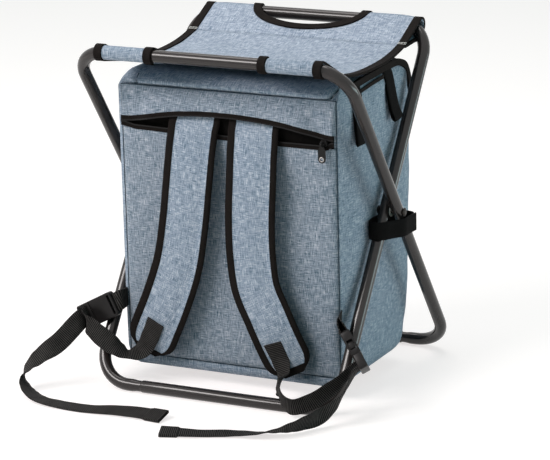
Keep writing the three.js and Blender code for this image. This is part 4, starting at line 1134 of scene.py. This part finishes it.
# padded shoulder straps with a bound edge, lying on the pocket; mm, and shares of the half width
strap = {
    "width": 70, "edgeThick": 5.6, "step": 5, "round": 30, "boundEnd": 11,
    "depth": [(320, 112.65), (344, 111.85), (352, 108.6), (366, 105), (381.2, 102.2)],
    "swell": [(320, 9.4), (344, 7.9), (352, 6.8), (366, 5.2), (381.2, 3)],
    "shares": [1, 0.97, 0.9, 0.78, 0.67, 0.65, 0.58, 0.45, 0.22],
    "left": [
        (-40, 381.2), (-42, 352), (-43, 344), (-47, 318), (-52, 280), (-60, 220), (-70, 168),
        (-89, 115), (-105, 78), (-115, 54), (-120, 41),
    ],
    "right": [
        (42, 381.2), (41, 352), (41, 344), (39, 318), (37, 285), (34, 230), (35, 185), (40, 148),
        (56, 111), (73, 73), (85, 49), (92, 35),
    ],
}


# half the strap's thickness: a pad between two rolled edges, which run together at the tip
def strapHalf(share, swell, tip):
    edge = min(strap["edgeThick"], swell)
    pad = edge * 0.5 + (swell - edge) * 0.5 * ease(0.68, 0.26, share)
    roll = edge * 0.5 * sqrt(max(0.0, 1 - max(0.0, (share - 0.86) / 0.14) ** 2.5))
    thick = roll if share > 0.66 else pad - 0.45
    return thick * (1 - tip) + min(roll, edge * 0.5) * tip


def shoulderStrap(side):
    points = [p for p, w in flow([((x, 0, z), (1, 0, 0)) for x, z in strap[side]], strap["step"])]
    reach = reaches(points)
    rest = [reach[-1] - r for r in reach]
    shares = [-s for s in strap["shares"]] + [0] + strap["shares"][::-1]
    rings = []
    for i, p in enumerate(points):
        way = heading(points, i)
        across = Vector((-way.z, 0, way.x))
        half = strap["width"] / 2 * sqrt(max(0.17, 1 - max(0.0, 1 - rest[i] / strap["round"]) ** 2.4))
        middle = Vector((p.x + strapShift(p.z), -onTable(strap["depth"], p.z) - strapLift(p.z), p.z))
        front, back = [], []
        for s in shares:
            thick = strapHalf(abs(s), onTable(strap["swell"], p.z), ease(16, 4, rest[i]))
            spot = middle + across * (s * half)
            front.append(spot - Vector((0, thick, 0)))
            back.append(spot + Vector((0, thick, 0)))
        rings.append(front + back[-2:0:-1])
    last = len(shares) - 1

    # 1 the binding, four points wide on each edge and round the lower end, 0 the cloth
    def bound(r, i):
        onEdge = min(i, abs(2 * last - i) - 1, abs(i - last)) < 4
        return 1 if rest[r] < strap["boundEnd"] or onEdge else 0

    bm, cloths = loft(rings, finish=bound), [clothBlue, bindingBlack]
    made = piece(side + "_padded_strap", bm, cloths, "bag", [side + "_shoulder_strap"], "cloth", 45)


for side in sides:
    shoulderStrap(side)
print("straps laid")


# small webbing: buckle tabs, side loops and the bands round the legs; mm
# a leg band lies round both legs, which spread below the pivot, so its plan is askew
small = {
    "tab": (25, 3.2), "strand": (25, 1.6), "loop": (24, 1.6), "band": (23.5, 1.8), "bandMiddle": 209.7,
    "rear": [
        (154.4, 44, 403), (157.4, 44, 394), (160.4, 44.5, 378), (163, 45.5, 362), (166, 47, 348),
        (168.4, 49, 338.4), (168, 49.2, 336.6), (166.2, 48.6, 337.6), (162.6, 47, 348),
        (160, 45.6, 362), (157.6, 44.6, 377), (155.4, 44, 388), (154, 44, 395),
    ],
    "front": [
        (154.4, -54, 402), (157.4, -54, 392), (160.4, -54.5, 372), (162.6, -55.5, 352),
        (164.4, -56.5, 337), (165.6, -57.4, 329.2), (165, -57.6, 327.4), (163.4, -57.2, 328.6),
        (161.4, -56.4, 338), (159.6, -55.4, 352), (157.6, -54.5, 370), (155.4, -54, 386),
        (154, -54, 394),
    ],
    "bandPlan": [
        (199, 30), (198.4, 22), (198, 10), (197.6, -1), (187.8, -17.4), (181, -28.6), (176, -33.2),
        (169, -34.2), (162, -31.5), (159.4, -24), (158.6, -6), (162.4, 8), (172, 27), (179, 33.2),
        (188, 34.2), (195, 31), (197, 24), (197, 10),
    ],
}


def sewn(name, stops, step, kind, finish, *stands):
    strip(name, stops, step, small[kind], finish, stands=stands, sharp=webbing["sharp"])


def buckleTabs():
    stops = [
        ((-153.9, -100.3, 107), (0, 0, -1)), ((-154.1, -110.3, 106.8), (0.15, 0, -0.98)),
        ((-155.5, -115.3, 106.4), (0.35, 0, -0.93)), (leftSpot(-4, 0), -leftAcross),
        (leftSpot(-0.3, 0), -leftAcross),
    ]
    sewn("left_socket_tab", stops, 2, "tab", webbingBlack, "left_buckle_tab")
    strands = (("right_socket_tab", 1, "right_buckle_tab"), ("right_socket_tab_back", -1))
    for name, lift, *stands in strands:
        stops = [
            ((152.6, -100.6, 112), (0.1, 0, 1)), ((154.4, -106.6, 110.6), (0.12, -0.1, 1)),
            (rightSpot(-6, 4 * lift), -rightAcross), (rightSpot(-0.3, 4.4 * lift), -rightAcross),
        ]
        sewn(name, stops, 2, "strand", webbingBlack, *stands)


def sideLoops():
    for side, sign in sides.items():
        for place in ("rear", "front"):
            name = side + "_" + place
            stops = [((sign * x, y, z), (0, 1, 0)) for x, y, z in small[place]]
            sewn(name + "_webbing_loop", stops, 3, "loop", loopBlack, name + "_loop")


def legBands():
    for side, sign in sides.items():
        stops = [((sign * x, y, small["bandMiddle"]), (0, 0, 1)) for x, y in small["bandPlan"]]
        sewn(side + "_leg_band", stops, 2.4, "band", loopBlack, side + "_frame_band")


buckleTabs()
sideLoops()
legBands()
print("small webbing done")


# trim: bound edges over the bag's sides, painted shade along seams and creases, stitches, eyelets of the
# pulls; mm
trim = {
    "binding": (9, 4.4), "tape": (5, 1.6), "seam": (0.9, 1.2), "crease": (1.3, 1.2), "step": 4,
    "eyeletRing": 2.6, "eyeletWire": 0.75, "stitchRows": (94.6, 97.4), "turnedHem": (422.65, 0.53),
    "tack": (3.8, 1.1), "tackSteps": (-4.1, 0, 4.1), "hemStitch": (2.6, 0.6), "hemRow": (-142, 4.2, 69),
    "ears": {
        "left": [(-129, 391.5), (-129.6, 394.5), (-130.4, 398), (-131.2, 402)],
        "right": [(141.3, 391.5), (143, 394.5), (145, 398), (147, 401.5)],
    },
    "sideTape": [
        (156, -70, 387.4), (156.6, -55, 389.6), (156.8, -30, 392), (156.8, 0, 394), (156.8, 30, 395.5),
    ],
    "sideTop": [
        (-70, 400), (-40, 402), (0, 403.5), (55, 405), (84, 403), (103, 395), (114, 381),
        (119.5, 362), (120.5, 346),
    ],
}


# the left binding starts two points further back
def sideBindings():
    points = [Vector((0, y, z)) for y, z in trim["sideTop"]]
    for side, sign in sides.items():
        stops = []
        for i, p in enumerate(points):
            way = heading(points, i)
            stops.append(((sign * (154.2 if i < 6 else 153.4), p.y, p.z), (0, way.z, -way.y)))
        stops = stops[2 if sign < 0 else 0:]
        strip(side + "_side_binding", stops, trim["step"], trim["binding"], bindingBlack)


# second tape under the bound edge, where the cooler's top is joined to its sides
def sideTapes():
    for side, sign in sides.items():
        stops = [((sign * x, y, z), (0, 0, 1)) for x, y, z in trim["sideTape"]]
        strip(side + "_side_tape", stops, trim["step"], trim["tape"], bindingBlack)


# thin dark line of painted shade along a seam or crease, where the cloth dips in
def seamShadeLine(name, stops, size=trim["seam"]):
    strip(name, stops, trim["step"], size, seamShade, slot="cloth")


# folded corners of the roll over the pocket: lines of painted shade drawn in where its cloth turns under
def earCreaseShades():
    for side, stops in trim["ears"].items():
        line = [(onWall((x, -200, z), (0, 1, 0), 0), (1, 0, 0.2)) for x, z in stops]
        seamShadeLine(side + "_ear_crease", line, trim["crease"])


# short stitches at points with a way and an up, each a small rounded bar lying on the cloth
def stitches(name, rows, length, thick, finish):
    bm = bmesh.new()
    for spot, way, up in rows:
        way, up = Vector(way).normalized(), Vector(up)
        up = (up - way * up.dot(way)).normalized()
        axes = (way * length * mm, up.cross(way) * thick * mm, up * thick * 0.8 * mm)
        turned = Matrix(axes).transposed().to_4x4()
        bmesh.ops.create_cube(bm, size=1, matrix=Matrix.Translation(Vector(spot) * mm) @ turned)
    bmesh.ops.bevel(
        bm, geom=bm.edges[:], offset=thick * 0.3 * mm, offset_type="OFFSET", affect="EDGES", segments=1,
        profile=0.5, material=-1,
    )
    return piece(name, bm, finish, slot="cloth", sharp=80)


# white tacks over the bindings and blue rows along the hem, on both sides of it
def seatStitches(name, side):
    white, blue = [], []
    way, up = (1, 0, 0), (0, -0.4 * side, 1)
    (height, slope), (first, pitch, count) = trim["turnedHem"], trim["hemRow"]
    for y in trim["stitchRows"]:
        z = seatSag(y, seat["bar"][0]) if y < seat["hem"] else height + slope * (y - seat["hem"])
        for x in (seat["left"] + seat["edge"], seat["right"] - seat["edge"]):
            white += [((x + step, side * y, z + 2), way, up) for step in trim["tackSteps"]]
        blue += [((first + pitch * k, side * y, z + 0.5), way, up) for k in range(count)]
    seatBlend(stitches(name + "_white_stitches", white, *trim["tack"], threadWhite))
    seatBlend(stitches(name + "_hem_stitches", blue, *trim["hemStitch"], threadBlue))


def pullEyelet(name, centre, body):
    bm = bmesh.new()
    upright = Matrix.Rotation(radians(90), 4, "X")
    wire = Matrix.Translation(vec(trim["eyeletRing"], 0, 0)) @ upright
    bmesh.ops.create_circle(bm, cap_ends=False, radius=trim["eyeletWire"] * mm, segments=10, matrix=wire)
    geom, middle = bm.verts[:] + bm.edges[:], (0, 0, 0)
    bmesh.ops.spin(bm, geom=geom, cent=middle, axis=(0, 0, 1), steps=24, angle=2 * pi, use_merge=True)
    bmesh.ops.remove_doubles(bm, verts=bm.verts, dist=1e-6)
    bmesh.ops.transform(bm, matrix=Matrix.Translation(vec(*centre)) @ upright, verts=bm.verts)
    piece(name, bm, eyeletMetal, body, slot="zinc")


sideBindings()
sideTapes()
for side, sign in sides.items():
    line = [((sign * 150.6, -100.3, z), (1, 0, 0)) for z in (33, 120, 240, 330, 390)]
    seamShadeLine(side + "_front_seam", line)
seamShadeLine("bottom_front_seam", [((x, -100.9, 32.2), (0, 0, 1)) for x in (-150, -75, 0, 75, 150)])
seamShadeLine("top_front_seam", [((x, -100.7, 390.4), (0, 0, 1)) for x in (-151, -75, 0, 75, 151)])
earCreaseShades()
seatStitches("seat_front", -1)
seatStitches("seat_rear", 1)
pullEyelet("pocket_pull_eyelet", (137, -116.2, 319.2), "pocket_zip_pull")
pullEyelet("flap_pull_eyelet", (-141, 129.2, 267), "flap_zip_pull")
print("trim sewn")
